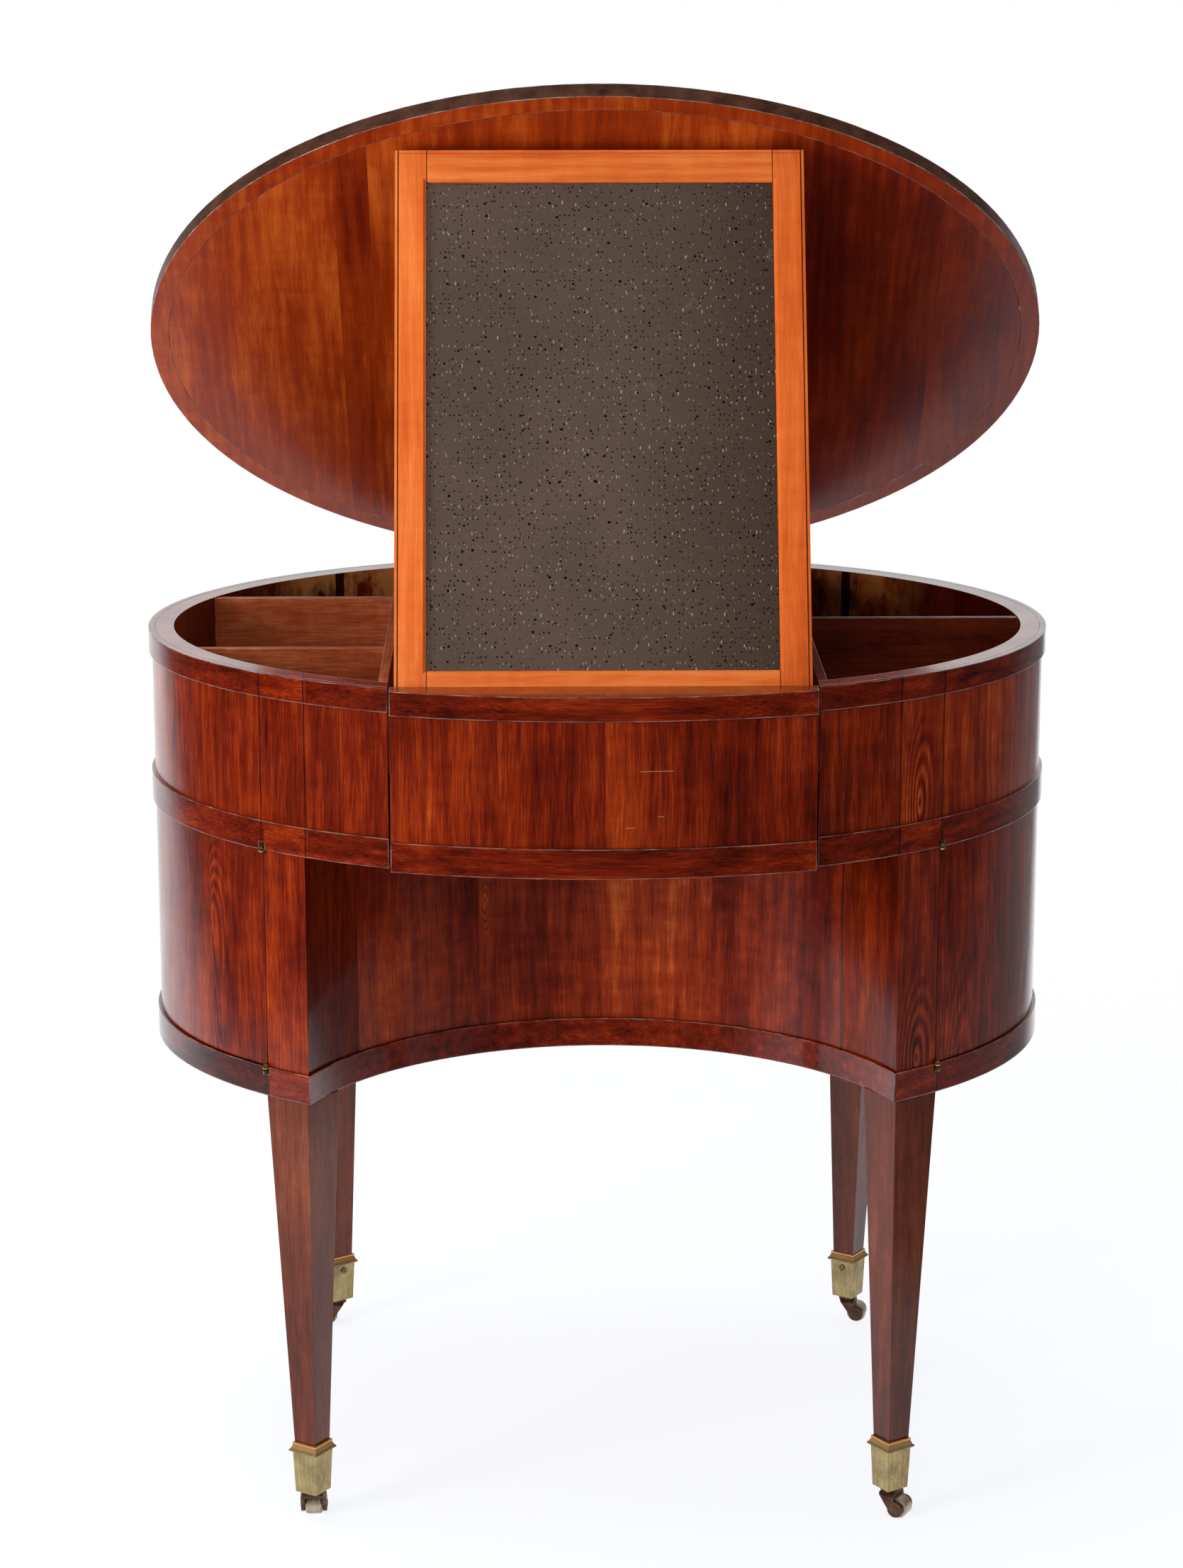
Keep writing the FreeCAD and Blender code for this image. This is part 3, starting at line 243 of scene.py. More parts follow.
# What a wood is like where nothing else is said. The first row is the strength of each layer of grain.
# Each knot is a place, a height along the grain, a width and a strength. Each board is a left edge and a tone.
# Each joint is a place and a half width. Scratches and chips are a left end, a right end and a height.
# Painted shade is given as the two places between which the tone darkens, and by how much.
# edging is the normal of the main face and the two colours of the edge round it.
# inner is the normal of a face darkened with painted shade, and how dark it is.
# worn is the colour of bare patches on the inside of the back wall, which is also darkened there with painted shade.
# A colour given for the arrises is a painted highlight; without one the arrises wear to the palest wood.
PLAIN_WOOD = {
    "fine": 0.6, "middle": 0.75, "broad": 1.0, "ripple": 0.22, "figure": 0.03, "pores": 0.35,
    "hues": POLISH, "rough": 0.34, "coat": 1.0, "haze": 0.1, "edge": 0.0008, "wear": 0.35, "glint": None,
    "knots": (), "boards": (), "joints": (), "scratches": (), "chips": None, "painted_shade": None,
    "edging": None, "inner": None, "worn": None,
}


class Wood(Surface):
    """Polished wood: boards of their own tone, fibres, rings round knots, pores, joints, worn arrises with painted
    highlights, and painted shade.
    """

    # Each texture is a scale, a detail and how far it is drawn out along the board
    FIBRES = (820.0, 2.0, 0.045)
    STREAKS = (130.0, 5.0, 0.075)
    CLOUDS = (17.0, 3.0, 0.25)
    EDGE_STREAKS = (60.0, 3.0, 0.3)
    PORES = (1100.0, 2.0, 0.035)
    RING_WAVES = (12.0, 2.0, 0.12)
    DRIFT = (7.0, 2.0, 0.35)
    # Ripples run across the board, so they are squeezed instead
    RIPPLES = (75.0, 2.0)
    RIPPLE_SQUEEZE = 0.3
    ROUGH = 0.6
    SWAY = 0.03
    # Shift of the grain from board to board, and from seed to seed
    BOARD_SHIFT = 41.0
    SUNK_SHIFT = 1.7
    RUN_SHIFT = 0.6
    # Rings as turns of a sine: along the board's width, in its waves, and round a knot
    RINGS = 520.0
    WAVE_RINGS = 18.0
    KNOT_RINGS = 30.0
    KNOT_REACH = 2.2
    KNOT_DRAWN_OUT = 0.24
    # Share of the full colour or gloss
    JOINT_DEPTH = 0.8
    SCRATCH_DEPTH = 0.6
    WALL_SHADE = 0.6
    EDGE_GLOSS = 0.35
    INNER_GLOSS = 0.45
    # Metres
    SCRATCH_HALF = 0.0004
    CHIP_HALF = 0.0075
    CHIP_RAGGED = 0.012
    OPEN_JOINT = (0.247, 0.004)

    def __init__(self, name, way, tone, seed, **changes):
        super().__init__(name)
        self.look = SimpleNamespace(**{**PLAIN_WOOD, **changes})
        self.front = self.below(self.y, OVAL_Y)
        self.lay_grain(way, tone, seed)
        self.sheen = self.look.coat
        self.color = self.ramp(self.value, tuple((0.25 * step, hue) for step, hue in enumerate(self.look.hues)))
        pore = self.pores()
        self.draw_joints()
        self.tint_and_shade_faces()
        normal, bent = self.arris(self.look.edge)
        self.rub_and_highlight_arrises(bent)
        self.scratch_and_chip()
        self.finish(pore, normal)

    def paint(self, mask, color):
        self.color = self.mix(mask, self.color, color)

    def lay_grain(self, way, tone, seed):
        """Value of the wood's tone, from boards, layers of grain, rings and painted shade."""
        look = self.look
        self.across, depth, self.along = self.split(self.grain_vector(way))
        self.value, shift = self.board_tones(self.across if way == "lid" else self.x, tone, seed)
        shifted = self.plus(self.plus(self.across, shift), seed)
        self.sunk = self.plus(depth, seed * self.SUNK_SHIFT)
        self.run = self.plus(self.along, seed * self.RUN_SHIFT)
        scale, detail, drawn_out = self.DRIFT
        drift = self.noise(self.join(shifted, self.sunk, self.times(self.run, drawn_out)), scale, detail)
        self.swayed = self.plus(shifted, self.times(drift, self.SWAY))
        ripples = self.join(self.times(shifted, self.RIPPLE_SQUEEZE), self.sunk, self.run)
        layers = (
            self.swing(self.fibres(self.FIBRES, self.ROUGH), look.fine),
            self.swing(self.fibres(self.STREAKS, self.ROUGH), look.middle),
            self.swing(self.fibres(self.CLOUDS, self.ROUGH), look.broad),
            self.swing(self.noise(ripples, *self.RIPPLES, self.ROUGH), look.ripple),
            self.rings(),
        )
        for grain in layers:
            self.value = self.plus(self.value, grain)
        # Painted shade: the tone darkens from left to right.
        if look.painted_shade:
            self.value = self.plus(self.value, self.painted_shade(*look.painted_shade))

    def grain_vector(self, way):
        """Coordinates whose third number runs along the grain."""
        if way == "up":
            return self.coord
        if way == "across":
            return self.join(self.y, self.z, self.x)
        if way == "deep":
            return self.join(self.x, self.z, self.y)
        if way == "wall":
            return self.join(*self.around())
        if way == "band":
            along, depth, height = self.around()
            return self.join(height, depth, along)
        if way == "lid":
            x, y, z = self.turned(LID_ANGLE)
            return self.join(x, z, y)
        x, y, z = self.turned(MIRROR_LEAN)
        return self.join(x, y, z) if way == "stile" else self.join(z, y, x)

    def board_tones(self, place, tone, seed):
        """Tone of the board at a place, and the shift that gives it grain of its own."""
        if not self.look.boards:
            return tone, seed
        stops = ((0.0, (0.5,) * 3),)
        stops += tuple((0.5 + left, (0.5 + offset,) * 3) for left, offset in self.look.boards)
        steps = self.node("ShaderNodeRGBToBW")
        self.put(steps.inputs[0], self.ramp(self.plus(place, 0.5), stops, "CONSTANT"))
        own = self.minus(steps.outputs[0], 0.5)
        return self.plus(own, tone), self.times(own, self.BOARD_SHIFT)

    def fibres(self, texture, rough=0.5):
        """Texture that is drawn out along the grain and sways with it."""
        scale, detail, drawn_out = texture
        return self.noise(self.join(self.swayed, self.sunk, self.times(self.run, drawn_out)), scale, detail, rough)

    def swing(self, texture, weight):
        """Texture as a change to both sides of nought."""
        return self.times(self.minus(texture, 0.5), weight)

    def rings(self):
        """Growth rings across the board, drawn round each knot."""
        waves = self.times(self.fibres(self.RING_WAVES), self.WAVE_RINGS)
        rings = self.plus(self.times(self.swayed, self.RINGS), waves)
        strength = self.look.figure
        for place, height, width, deep in self.look.knots:
            off = self.times(self.minus(self.across, place), 1.0 / width)
            up = self.times(self.minus(self.along, height), self.KNOT_DRAWN_OUT / width)
            near = self.grey(self.reach(off, up), 0.0, self.KNOT_REACH, 1.0, 0.0)
            rings = self.plus(rings, self.times(near, self.KNOT_RINGS))
            strength = self.plus(strength, self.times(near, deep))
        return self.times(self.math("SINE", rings), strength)

    def painted_shade(self, low, high, amount):
        """Painted shade: the tone darkens from left to right, only on the main face where the piece has an edging."""
        change = self.grey(self.x, low, high, 0.0, amount)
        if self.look.edging:
            change = self.times(change, self.above(self.facing(self.look.edging[0]), 0.5))
        return change

    def pores(self):
        pore = self.grey(self.fibres(self.PORES, self.ROUGH), 0.60, 0.70)
        self.paint(self.times(pore, self.look.pores), tuple(share * 0.4 for share in self.look.hues[0]))
        return pore

    def draw_joints(self):
        for place, half in self.look.joints:
            line = self.times(self.below(self.gap(self.x, place), half), self.front)
            self.paint(self.times(line, self.JOINT_DEPTH), JOINT_COLOR)

    def tint_and_shade_faces(self):
        """Colour and gloss of faces that differ: the lid's edge, and painted shade on the back wall's inside and on
        the posts' inner side.
        """
        look = self.look
        if look.edging:
            normal, dark, pale = look.edging
            face = self.below(self.math("ABSOLUTE", self.facing(normal)), 0.5)
            streaks = self.grey(self.fibres(self.EDGE_STREAKS, self.ROUGH), 0.3, 0.7)
            self.paint(face, self.mix(streaks, dark, pale))
            self.sheen = self.grey(face, 0.0, 1.0, look.coat, look.coat * self.EDGE_GLOSS)
        if look.worn:
            self.wear_back_wall(look.worn)
        # Painted shade, with less gloss, on the face that looks the given way.
        if look.inner:
            normal, dark = look.inner
            face = self.above(self.facing(normal), 0.3)
            self.paint(self.times(face, dark), look.hues[0])
            self.sheen = self.grey(face, 0.0, 1.0, look.coat, look.coat * self.INNER_GLOSS)

    def wear_back_wall(self, color):
        """Inside of the back wall darkened with painted shade, with bare patches near its middle and two open joints.
        """
        looks_in = self.above(self.facing((0.0, -1.0, 0.0)), 0.2)
        behind = self.times(looks_in, self.above(self.y, OVAL_Y))
        # Painted shade on the inside of the back wall.
        self.paint(self.times(behind, self.WALL_SHADE), self.look.hues[0])
        aside = self.math("ABSOLUTE", self.x)
        drips = self.noise(self.join(self.times(self.x, 1.8), self.y, self.z), 26.0, 5.0, 0.65)
        near_middle = self.grey(aside, 0.28, 0.33, 1.0, 0.0)
        fainter_right = self.grey(self.x, -0.1, 0.15, 0.8, 0.3)
        patch = self.times(self.times(self.grey(drips, 0.40, 0.56), near_middle), fainter_right)
        self.paint(self.times(behind, patch), color)
        place, half = self.OPEN_JOINT
        self.paint(self.times(behind, self.below(self.gap(aside, place), half)), self.look.hues[0])

    def rub_and_highlight_arrises(self, bent):
        # Arrises are rubbed to the palest wood; where a highlight colour is given, they get a painted highlight
        # instead.
        uneven = self.grey(self.noise(self.coord, 45.0, 3.0, self.ROUGH), 0.42, 0.62, 0.15, 1.0)
        self.paint(self.times(self.times(bent, uneven), self.look.wear), self.look.glint or self.look.hues[-1])

    def scratch_and_chip(self):
        for left, right, level in self.look.scratches:
            thin = self.below(self.gap(self.z, level), self.SCRATCH_HALF)
            line = self.times(self.between(self.x, left, right), thin)
            self.paint(self.times(line, self.SCRATCH_DEPTH), SCRATCH_COLOR)
        if self.look.chips:
            left, right, level = self.look.chips
            ragged = self.times(self.noise(self.coord, 70.0, 3.0, 0.7), self.CHIP_RAGGED)
            near = self.plus(self.gap(self.z, level), ragged)
            broken = self.times(self.between(self.x, left, right), self.below(near, self.CHIP_HALF))
            self.paint(self.times(broken, self.front), CHIP_COLOR)

    def finish(self, pore, normal):
        """Uneven gloss, and a polish that sinks into the pores and rolls over the arrises."""
        look = self.look
        waves = self.times(self.noise(self.coord, 34.0, 2.0), 0.9)
        shaded = self.bump(self.minus(waves, pore), 0.1, 0.0006, normal)
        self.shade(
            Base_Color=self.color,
            Roughness=self.grey(self.noise(self.coord, 22.0, 4.0), 0.3, 0.7, look.rough * 0.8, look.rough * 1.25),
            Specular_IOR_Level=0.08,
            Coat_Weight=self.sheen,
            Coat_Roughness=look.haze,
            Normal=shaded,
            Coat_Normal=shaded,
        )


def dress(surface, *names):
    """Put a surface on every slot of the named pieces."""
    for name in names:
        slots = NODES[name].data.materials
        if not len(slots):
            slots.append(surface.mat)
        for number in range(len(slots)):
            slots[number] = surface.mat


def all_four(ending):
    """Names of a piece that each corner has."""
    return [corner + ending for corner in ("left_front", "right_front", "left_back", "right_back")]


# Wood of the outside
SEAMS = tuple((place, 0.0006) for place in (-DOOR_SEAM, -POST_SEAM, POST_SEAM, DOOR_SEAM))
# The bands' arrises get a painted highlight.
BAND = {"ripple": 0.05, "middle": 0.8, "broad": 0.6, "wear": 1.0, "edge": 0.0016, "glint": (0.66, 0.47, 0.38)}
CALM = {"fine": 0.7, "middle": 0.55}
FLAME = (0.009, 0.26)
HAIRLINE = 0.0003


def upper_wall():
    """Wall in boards of their own tone, with a flame figure on the board over the right post."""
    left, right = -0.225, 0.2
    joints = SEAMS + ((left, HAIRLINE), (right, HAIRLINE))
    boards = (
        (-0.5, 0.05), (-DOOR_SEAM, 0.04), (-POST_SEAM, -0.02), (left, 0.02),
        (0.0, 0.04), (right, -0.05), (POST_SEAM, 0.13), (DOOR_SEAM, 0.05),
    )
    flame = (0.274, 0.664) + FLAME
    dress(Wood("wall_wood", "wall", 0.515, 1.3, worn=OCHRE, joints=joints, knots=(flame,), boards=boards, **CALM),
          "upper_wall")


def bands():
    """The three proud bands round the carcase and the two strips that carry them on over the drawer."""
    chips = (-0.176, -0.112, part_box("mid_band_strip")[0].z)
    rim = ((-DOOR_SEAM, 0.06), (-POST_SEAM, -0.02), (POST_SEAM, 0.05), (DOOR_SEAM, -0.04))
    middle = ((-DOOR_SEAM, 0.05), (-POST_SEAM, -0.02), (POST_SEAM, 0.08), (DOOR_SEAM, -0.02))
    # The base band's leftmost board is darker, in part as painted shade.
    base = ((-0.5, -0.2), (-DOOR_SEAM, 0.05), (-POST_SEAM, -0.02), (POST_SEAM, 0.05), (DOOR_SEAM, -0.03))
    dress(Wood("rim_band_wood", "band", 0.42, 4.1, joints=SEAMS, boards=rim, **BAND), "rim_band_strip")
    dress(Wood("mid_band_wood", "band", 0.42, 5.7, joints=SEAMS, boards=middle, chips=chips, **BAND),
          "mid_band_strip")
    dress(Wood("base_band_wood", "band", 0.46, 6.6, joints=SEAMS, boards=base, **BAND), "base_band_strip")
    dress(Wood("drawer_band_wood", "across", 0.45, 6.3, **BAND), "drawer_mid_strip", "drawer_rim_strip")


def drawer_front():
    """Front in two matched halves, darkened with painted shade towards its right, with three scratches under its
    middle.
    """
    low, high = (corner.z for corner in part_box("drawer_front"))
    ends_and_shares = ((0.030, 0.058, 0.41), (0.045, 0.050, 0.66), (0.018, 0.026, 0.72))
    scratches = tuple((left, right, high - share * (high - low)) for left, right, share in ends_and_shares)
    boards = ((-0.3, -0.02), (-0.09, 0.015), (-0.003, -0.005))
    # The front is darkened with painted shade towards its right.
    dress(Wood("drawer_front_wood", "up", 0.565, 2.2, middle=0.6, ripple=0.2, boards=boards,
               joints=((0.0, HAIRLINE),), painted_shade=(-0.02, 0.12, -0.12), scratches=scratches),
          "drawer_front")


def doors_and_posts():
    left_knots = ((-0.374, 0.552, 0.010, 0.14), (-0.366, 0.462, 0.017, 0.09))
    right_knots = ((0.33, 0.40, 0.014, 0.12),)
    flame = (0.276, 0.432) + FLAME
    dress(Wood("left_door_wood", "wall", 0.465, 7.7, knots=left_knots, **CALM), "left_door")
    dress(Wood("right_door_wood", "wall", 0.475, 9.1, knots=right_knots, **CALM), "right_door")
    # The posts' faces that look towards the middle are darkened with painted shade and lose some gloss.
    dress(Wood("left_post_wood", "up", 0.55, 3.4, fine=0.7, middle=0.6, inner=((1, 0, 0), 0.5)),
          "left_front_post", "left_back_post")
    dress(Wood("right_post_wood", "up", 0.565, 8.8, fine=0.7, middle=0.6, haze=0.2, knots=(flame,),
               inner=((-1, 0, 0), 0.35)),
          "right_front_post", "right_back_post")


def kneehole_back_and_legs():
    left, right = -0.224, 0.214
    # The kneehole wall's two end boards are darkened, in part as painted shade.
    knee = ((-0.5, -0.24), (left, -0.01), (-0.112, 0.03), (0.098, -0.08), (right, -0.16))
    dress(Wood("knee_wood", "up", 0.60, 5.2, fine=0.5, middle=0.55, ripple=0.35, haze=0.2, boards=knee,
               joints=((left, 0.0005), (right, 0.0005)), knots=((-0.104, 0.535, 0.004, 0.14),)),
          "kneehole_wall")
    dress(Wood("back_wood", "up", 0.45, 8.4, boards=((-0.2, 0.05), (-0.05, -0.02), (0.12, 0.04))),
          "lower_back_wall")
    # The right legs are darkened with painted shade.
    dress(Wood("leg_wood", "up", 0.72, 2.9, hues=SMOKED, rough=0.3, pores=0.6, coat=0.6, fine=0.5, middle=0.5,
               painted_shade=(0.2, 0.3, -0.2)),
          *all_four("_leg"))


def lid():
    """Red orange lid in broad boards, with painted shade at its right where the mirror's shadow falls, and a walnut
    edge.
    """
    underside = (0.0, -math.sin(LID_ANGLE), -math.cos(LID_ANGLE))
    walnut = ((0.022, 0.010, 0.006), (0.10, 0.035, 0.018))
    both = {"pores": 0.12, "rough": 0.3, "coat": 0.6, "haze": 0.3, "edging": (underside,) + walnut}
    boards = ((-0.238, -0.09), (-0.207, 0.03), (0.185, -0.05), (0.31, 0.02))
    # Painted shade darkens the underside to the right, where the mirror's shadow falls.
    dress(Wood("lid_wood", "lid", 0.755, 0.7, fine=0.3, middle=0.4, broad=0.7, ripple=0.16, boards=boards,
               painted_shade=(0.12, 0.2, -0.17), knots=((-0.262, 0.0, 0.010, 0.07),), **both),
          "lid_panel")
    # The lipping gets a painted highlight along its arrises and painted shade to the right.
    dress(Wood("lipping_wood", "lid", 0.755, 3.3, fine=0.25, middle=0.3, broad=0.4, wear=1.0,
               glint=(0.9, 0.86, 0.8), edge=0.0012, painted_shade=(0.1, 0.3, -0.1), **both),
          "lid_lipping_strip")


def mirror_frame():
    """Pale frame, with a fine line along its outer edges, the joints between rails and stiles, and the right stile
    darkened with painted shade.
    """
    inner, outer = (corner.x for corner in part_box("mirror_right_stile"))
    line_inset = 0.0028
    quirks = tuple((side * (outer - line_inset), 0.0006) for side in (-1, 1))
    shoulders = tuple((side * inner, 0.0009) for side in (-1, 1))
    both = {"hues": ORANGE, "rough": 0.35, "coat": 0.3, "pores": 0.1, "fine": 0.4, "middle": 0.55, "wear": 0.15,
            "edge": 0.0006}
    # The right stile is darkened with painted shade.
    dress(Wood("stile_wood", "stile", 0.84, 5.5, figure=0.04, joints=quirks, painted_shade=(0.1, 0.16, -0.22), **both),
          "mirror_left_stile", "mirror_right_stile")
    dress(Wood("rail_wood", "rail", 0.84, 6.5, figure=0.08, joints=shoulders, **both),
          "mirror_top_rail", "mirror_bottom_rail")


def insides():
    # Arrises inside get a painted highlight; the partitions and dividers darken to the right with painted shade.
    dull = {"hues": INSIDE, "rough": 0.45, "coat": 0.15, "haze": 0.25, "pores": 0.4, "fine": 0.4, "middle": 0.4,
            "broad": 0.5, "wear": 0.9, "glint": (0.78, 0.52, 0.38), "edge": 0.0012}
    dress(Wood("partition_wood", "deep", 0.72, 1.9, painted_shade=(0.0, 0.2, -0.36), **dull),
          "left_partition", "right_partition", "mirror_ledge")
    dress(Wood("divider_wood", "across", 0.76, 2.8, painted_shade=(0.0, 0.2, -0.3), **dull), "left_dividers", "right_divider")
    dress(Wood("floor_wood", "across", 0.60, 3.8, **dull), "mid_board_panel", "well_floor_board", "base_board")
    dress(Wood("bare_wood", "deep", 0.5, 4.8, hues=BARE, rough=0.7, coat=0.0, pores=0.6),
          "drawer_left_side", "drawer_right_side", "drawer_back_piece", "drawer_bottom_board", "mirror_back_board")


class Metal(Surface):
    """Old metal with a blotched patina, streaks, and arrises rubbed bright."""

    SPOT = 60.0
    STREAK = 420.0
    DRAWN_DOWN = 0.06
    ARRIS = 0.0006

    def __init__(self, name, color, dull, rough, metallic=1.0, lip=None, bright=None):
        super().__init__(name)
        blotch = self.grey(self.noise(self.coord, self.SPOT, 5.0, 0.65), 0.35, 0.7)
        tint = self.mix(self.times(blotch, 0.6), color, dull)
        streak = self.noise(self.join(self.x, self.y, self.times(self.z, self.DRAWN_DOWN)), self.STREAK, 3.0, 0.6)
        tint = self.mix(self.grey(streak, 0.45, 0.66, 0.0, 0.55), tint, dull)
        speck = self.grey(self.noise(self.coord, self.SPOT * 9.0, 2.0), 0.62, 0.7)
        tint = self.mix(self.times(speck, 0.5), tint, tuple(part * 0.3 for part in dull))
        if lip:
            tint = self.mix(self.above(self.z, lip[0]), tint, lip[1])
        normal, bent = self.arris(self.ARRIS)
        tint = self.mix(self.times(bent, 0.6), tint, bright or tuple(min(1.0, part * 1.5) for part in color))
        height = self.plus(blotch, self.noise(self.coord, self.SPOT * 12.0, 2.0))
        self.shade(
            Base_Color=tint,
            Metallic=metallic,
            Roughness=self.grey(blotch, 0.0, 1.0, rough * 0.7, rough * 1.4),
            Normal=self.bump(height, 0.25, 0.0004, normal),
        )


def metals():
    """Brass sockets with a redder collar, brass hinges, iron horns and paler wheels."""
    collar_height = 0.0055
    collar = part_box("left_front_castor_socket")[1].z - collar_height
    brass = Metal("old_brass", (0.52, 0.39, 0.17), (0.22, 0.18, 0.10), 0.42, metallic=0.7,
                  lip=(collar, (0.72, 0.40, 0.14)), bright=(0.9, 0.68, 0.34))
    dress(brass, *all_four("_castor_socket"))
    dress(Metal("hinge_brass", (0.6, 0.43, 0.16), (0.3, 0.2, 0.08), 0.3),
          "lid_hinge_leaves", "rim_hinge_leaves", "mirror_carrier_leaves", "mirror_hinge_leaves",
          "left_door_pivots", "right_door_pivots", "pivot_eyes")
    dress(Metal("screw_metal", (0.3, 0.2, 0.12), (0.1, 0.05, 0.03), 0.5), "socket_screws")
    horn = Metal("horn_metal", (0.15, 0.075, 0.042), (0.045, 0.022, 0.014), 0.5, metallic=0.7,
                 bright=(0.5, 0.3, 0.13))
    dress(horn, *all_four("_castor_horn"))
    dress(Metal("wheel_metal", (0.62, 0.52, 0.36), (0.20, 0.15, 0.10), 0.4, metallic=0.6),
          *all_four("_castor_wheel"))


class OldGlass(Surface):
    """Tarnished silvered glass: grey brown with a painted reflection that darkens it to the right, with pale ticks,
    black specks and bloom.
    """

    def __init__(self, name):
        super().__init__(name)
        self.across, _, self.up = self.turned(MIRROR_LEAN)
        cloud = self.grey(self.noise(self.coord, 9.0), 0.35, 0.65)
        color = self.mix(cloud, (0.275, 0.19, 0.148), (0.225, 0.155, 0.12))
        # Painted reflection: the glass darkens to the right.
        color = self.mix(self.grey(self.across, 0.02, 0.16, 0.0, 0.95), color, (0.13, 0.085, 0.06))
        bloom = self.grey(self.noise(self.coord, 30.0), 0.68, 0.76, 0.0, 0.3)
        color = self.mix(bloom, color, (0.45, 0.40, 0.36))
        ticks = self.math("MAXIMUM", self.dots(245.0, 86.0, 0.103, 0.85), self.dots(122.0, 41.0, 0.075, 0.8))
        color = self.mix(ticks, color, (0.72, 0.65, 0.57))
        specks = self.math("MAXIMUM", self.dots(250.0, 240.0, 0.22, 0.6), self.dots(80.0, 84.0, 0.11, 0.6))
        color = self.mix(specks, color, (0.012, 0.008, 0.006))
        self.shade(Base_Color=color, Metallic=0.75, Roughness=0.07)

    def dots(self, across, up, size, share):
        """Strewn dots: how many to the metre across and up, their largest size and how many cells have one."""
        cells = self.node("ShaderNodeTexVoronoi", voronoi_dimensions="2D")
        place = self.join(self.times(self.across, across), self.times(self.up, up), 0.0)
        self.put_all((cells.inputs["Vector"], cells.inputs["Scale"]), (place, 1.0))
        chance = self.split(cells.outputs["Color"])
        inside = self.below(cells.outputs["Distance"], self.times(chance[1], size))
        return self.times(inside, self.below(chance[0], share))


class Floor(Surface):
    """Pale floor with the table's shadow; gloss sees a strip of it as white and the room beside it as dark."""

    def __init__(self, name):
        super().__init__(name)
        self.shade(Base_Color=(0.84, 0.85, 0.9, 1.0), Roughness=0.6, Specular_IOR_Level=0.2)
        rays = self.node("ShaderNodeLightPath").outputs
        to_eye = rays["Is Camera Ray"]
        white = self.glow(1.0, 1.0, 1.0)
        paper = self.blend(self.times(to_eye, 0.7), self.bsdf.outputs[0], self.glow(1.165, 1.185, 1.225))
        paper = self.blend(self.grey(self.y, 0.3, 1.6), paper, white)
        far = self.grey(self.reach(self.x, self.y), 1.5, 4.0)
        paper = self.blend(self.times(to_eye, far), paper, white)
        self.put(self.end, self.blend(rays["Is Glossy Ray"], paper, self.mirrored()))

    def glow(self, *color):
        return self.shine("ShaderNodeEmission", color, 1.0)

    def mirrored(self):
        """What gloss sees: a strip that widens behind the table, with a faint one far to the right."""
        widening = self.plus(1.0, self.times(self.math("MAXIMUM", self.y, 0.0), 0.3))
        wide = self.over(self.x, widening)
        right = self.math("MAXIMUM", self.grey(wide, 0.7, 1.0, 1.0, 0.0), self.grey(wide, 1.6, 2.4, 0.2, 0.0))
        strip = self.times(self.grey(wide, -1.9, -1.3), right)
        strip = self.times(strip, self.grey(self.y, -1.0, -0.6))
        return self.blend(strip, self.glow(0.02, 0.018, 0.016), self.glow(0.95, 0.95, 0.98))


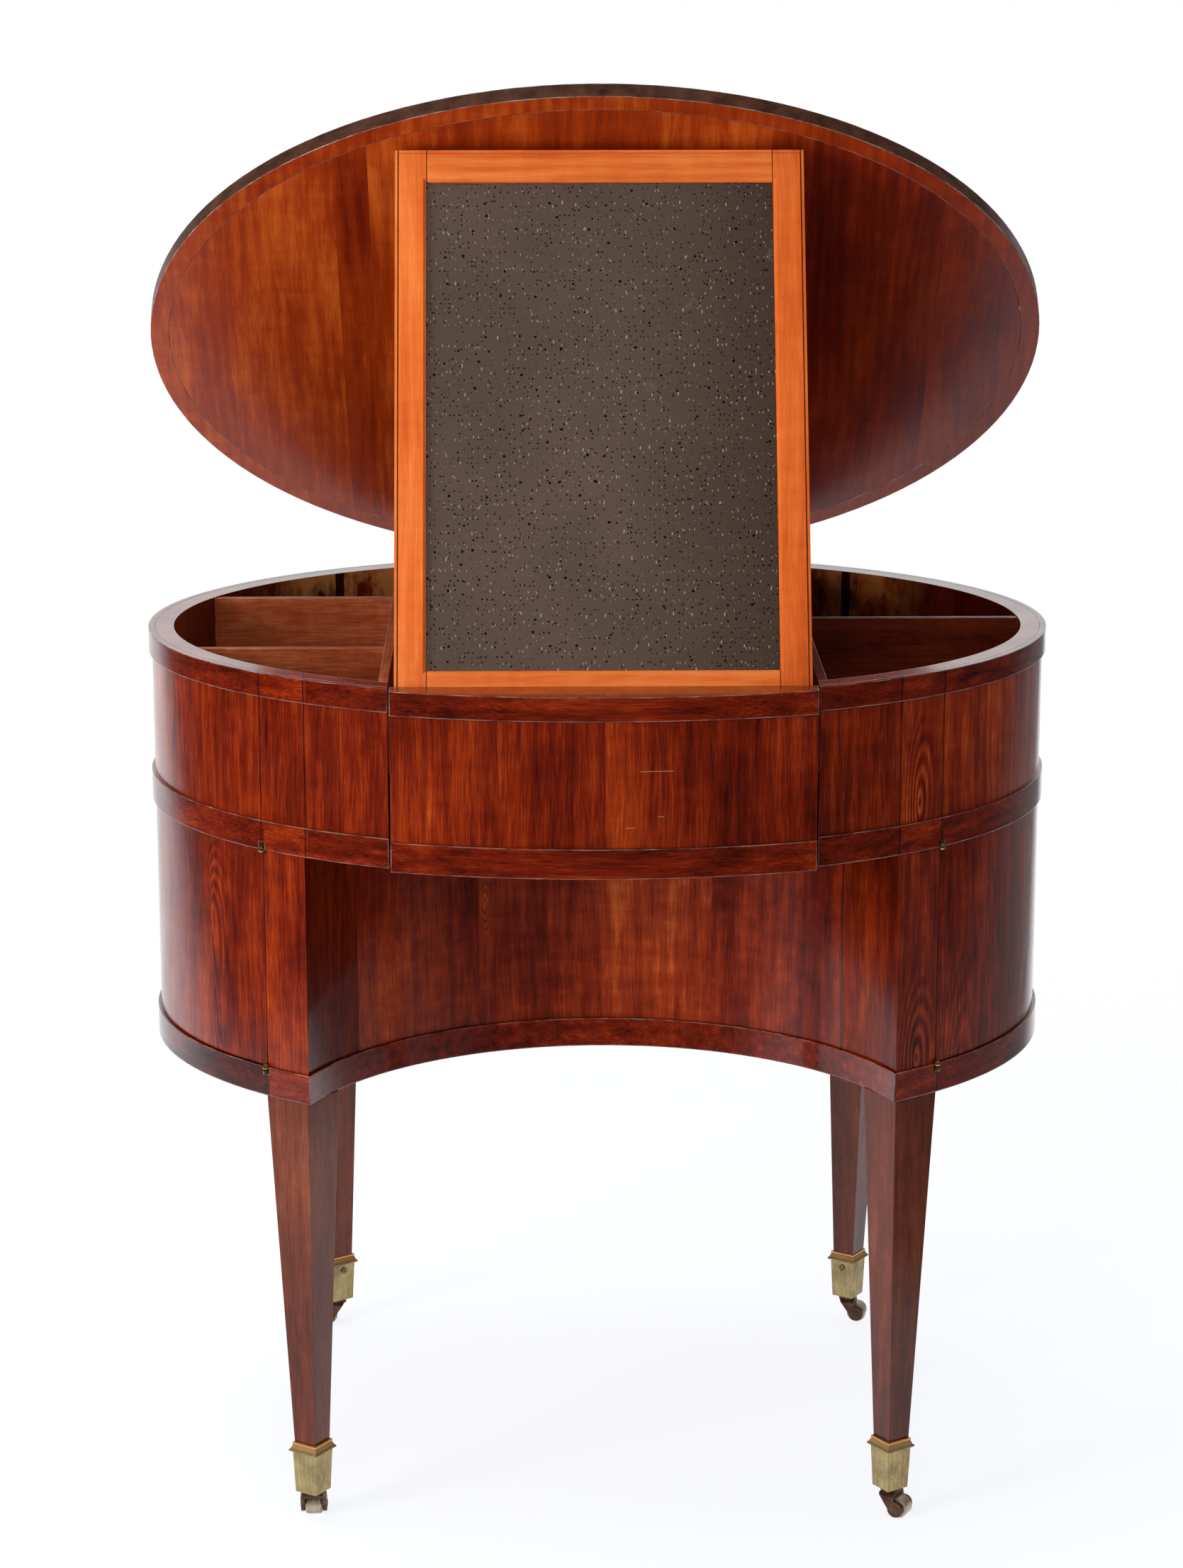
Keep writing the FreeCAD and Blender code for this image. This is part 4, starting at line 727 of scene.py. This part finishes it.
class Backdrop(Graph):
    """World that is white to the eye, fills surfaces softly, and shows the gloss a dark room, white at the back."""

    def __init__(self, name):
        world = bpy.data.worlds.new(name)
        super().__init__(world)
        bpy.context.scene.world = world
        rays = self.node("ShaderNodeLightPath").outputs
        _, depth, height = self.split(self.node("ShaderNodeTexCoord").outputs["Generated"])
        white = self.sky(1.0, 1.0, 1.0, 1.0)
        room = self.blend(self.grey(height, 0.0, 0.5), self.sky(0.5, 0.45, 0.42, 0.08), self.sky(1.0, 0.95, 0.9, 0.22))
        gloss = self.blend(self.grey(depth, 0.7, 0.92), room, white)
        lit = self.blend(rays["Is Glossy Ray"], self.sky(0.95, 0.96, 1.0, 0.3), gloss)
        seen = self.blend(rays["Is Camera Ray"], lit, white)
        self.put(self.node("ShaderNodeOutputWorld").inputs[0], seen)

    def sky(self, red, green, blue, power):
        return self.shine("ShaderNodeBackground", (red, green, blue), power)


def add_object(name, data):
    """Object in the scene that holds a mesh, a light or a camera."""
    made = bpy.data.objects.new(name, data)
    bpy.context.scene.collection.objects.link(made)
    return made


def make_floor():
    half_width, front, back = 40, -12, 90
    corners = [(-half_width, front, 0), (half_width, front, 0), (half_width, back, 0), (-half_width, back, 0)]
    mesh = bpy.data.meshes.new("floor")
    mesh.from_pydata(corners, [], [(0, 1, 2, 3)])
    mesh.materials.append(Floor("floor_white").mat)
    add_object("floor", mesh)


def make_lamp(name, spot, aim, size, watts):
    """Large soft lamp that aims at a point and doesn't show in the gloss."""
    light = bpy.data.lights.new(name, "AREA")
    light.shape = "RECTANGLE"
    light.size, light.size_y = size
    light.energy = watts
    holder = add_object(name, light)
    holder.location = spot
    holder.rotation_euler = (Vector(aim) - Vector(spot)).to_track_quat("-Z", "Y").to_euler()
    holder.visible_glossy = False


def make_camera():
    """Camera worked out from the photograph: lens in millimetres, place in metres, turns in degrees."""
    camera = bpy.data.cameras.new("camera")
    camera.sensor_width = 36.0
    camera.lens = 89.28
    down, aside = 13.726, 0.967
    eye = add_object("camera", camera)
    eye.location = (-0.0645, -3.499 + OVAL_Y, 1.4776)
    eye.rotation_euler = (math.radians(90.0 - down), 0.0, math.radians(-aside))
    bpy.context.scene.camera = eye


upper_wall()
bands()
drawer_front()
doors_and_posts()
kneehole_back_and_legs()
lid()
mirror_frame()
insides()
metals()
dress(OldGlass("foxed_glass"), "mirror_glass")

make_floor()
make_lamp("left_box", (-2.5, -2.0, 1.2), (0, 0, 0.75), (1.0, 1.6), 62)
make_lamp("right_box", (2.6, -0.6, 1.3), (0, 0, 0.7), (0.6, 2.2), 6)
make_lamp("front_box", (-0.7, -3.4, 2.4), (0, 0, 0.6), (1.6, 1.2), 22)
make_lamp("top_box", (-0.6, 0.3, 3.2), (0, 0, 0.6), (2.4, 2.0), 40)
Backdrop("studio")
make_camera()
bpy.context.scene.view_settings.view_transform = "Standard"
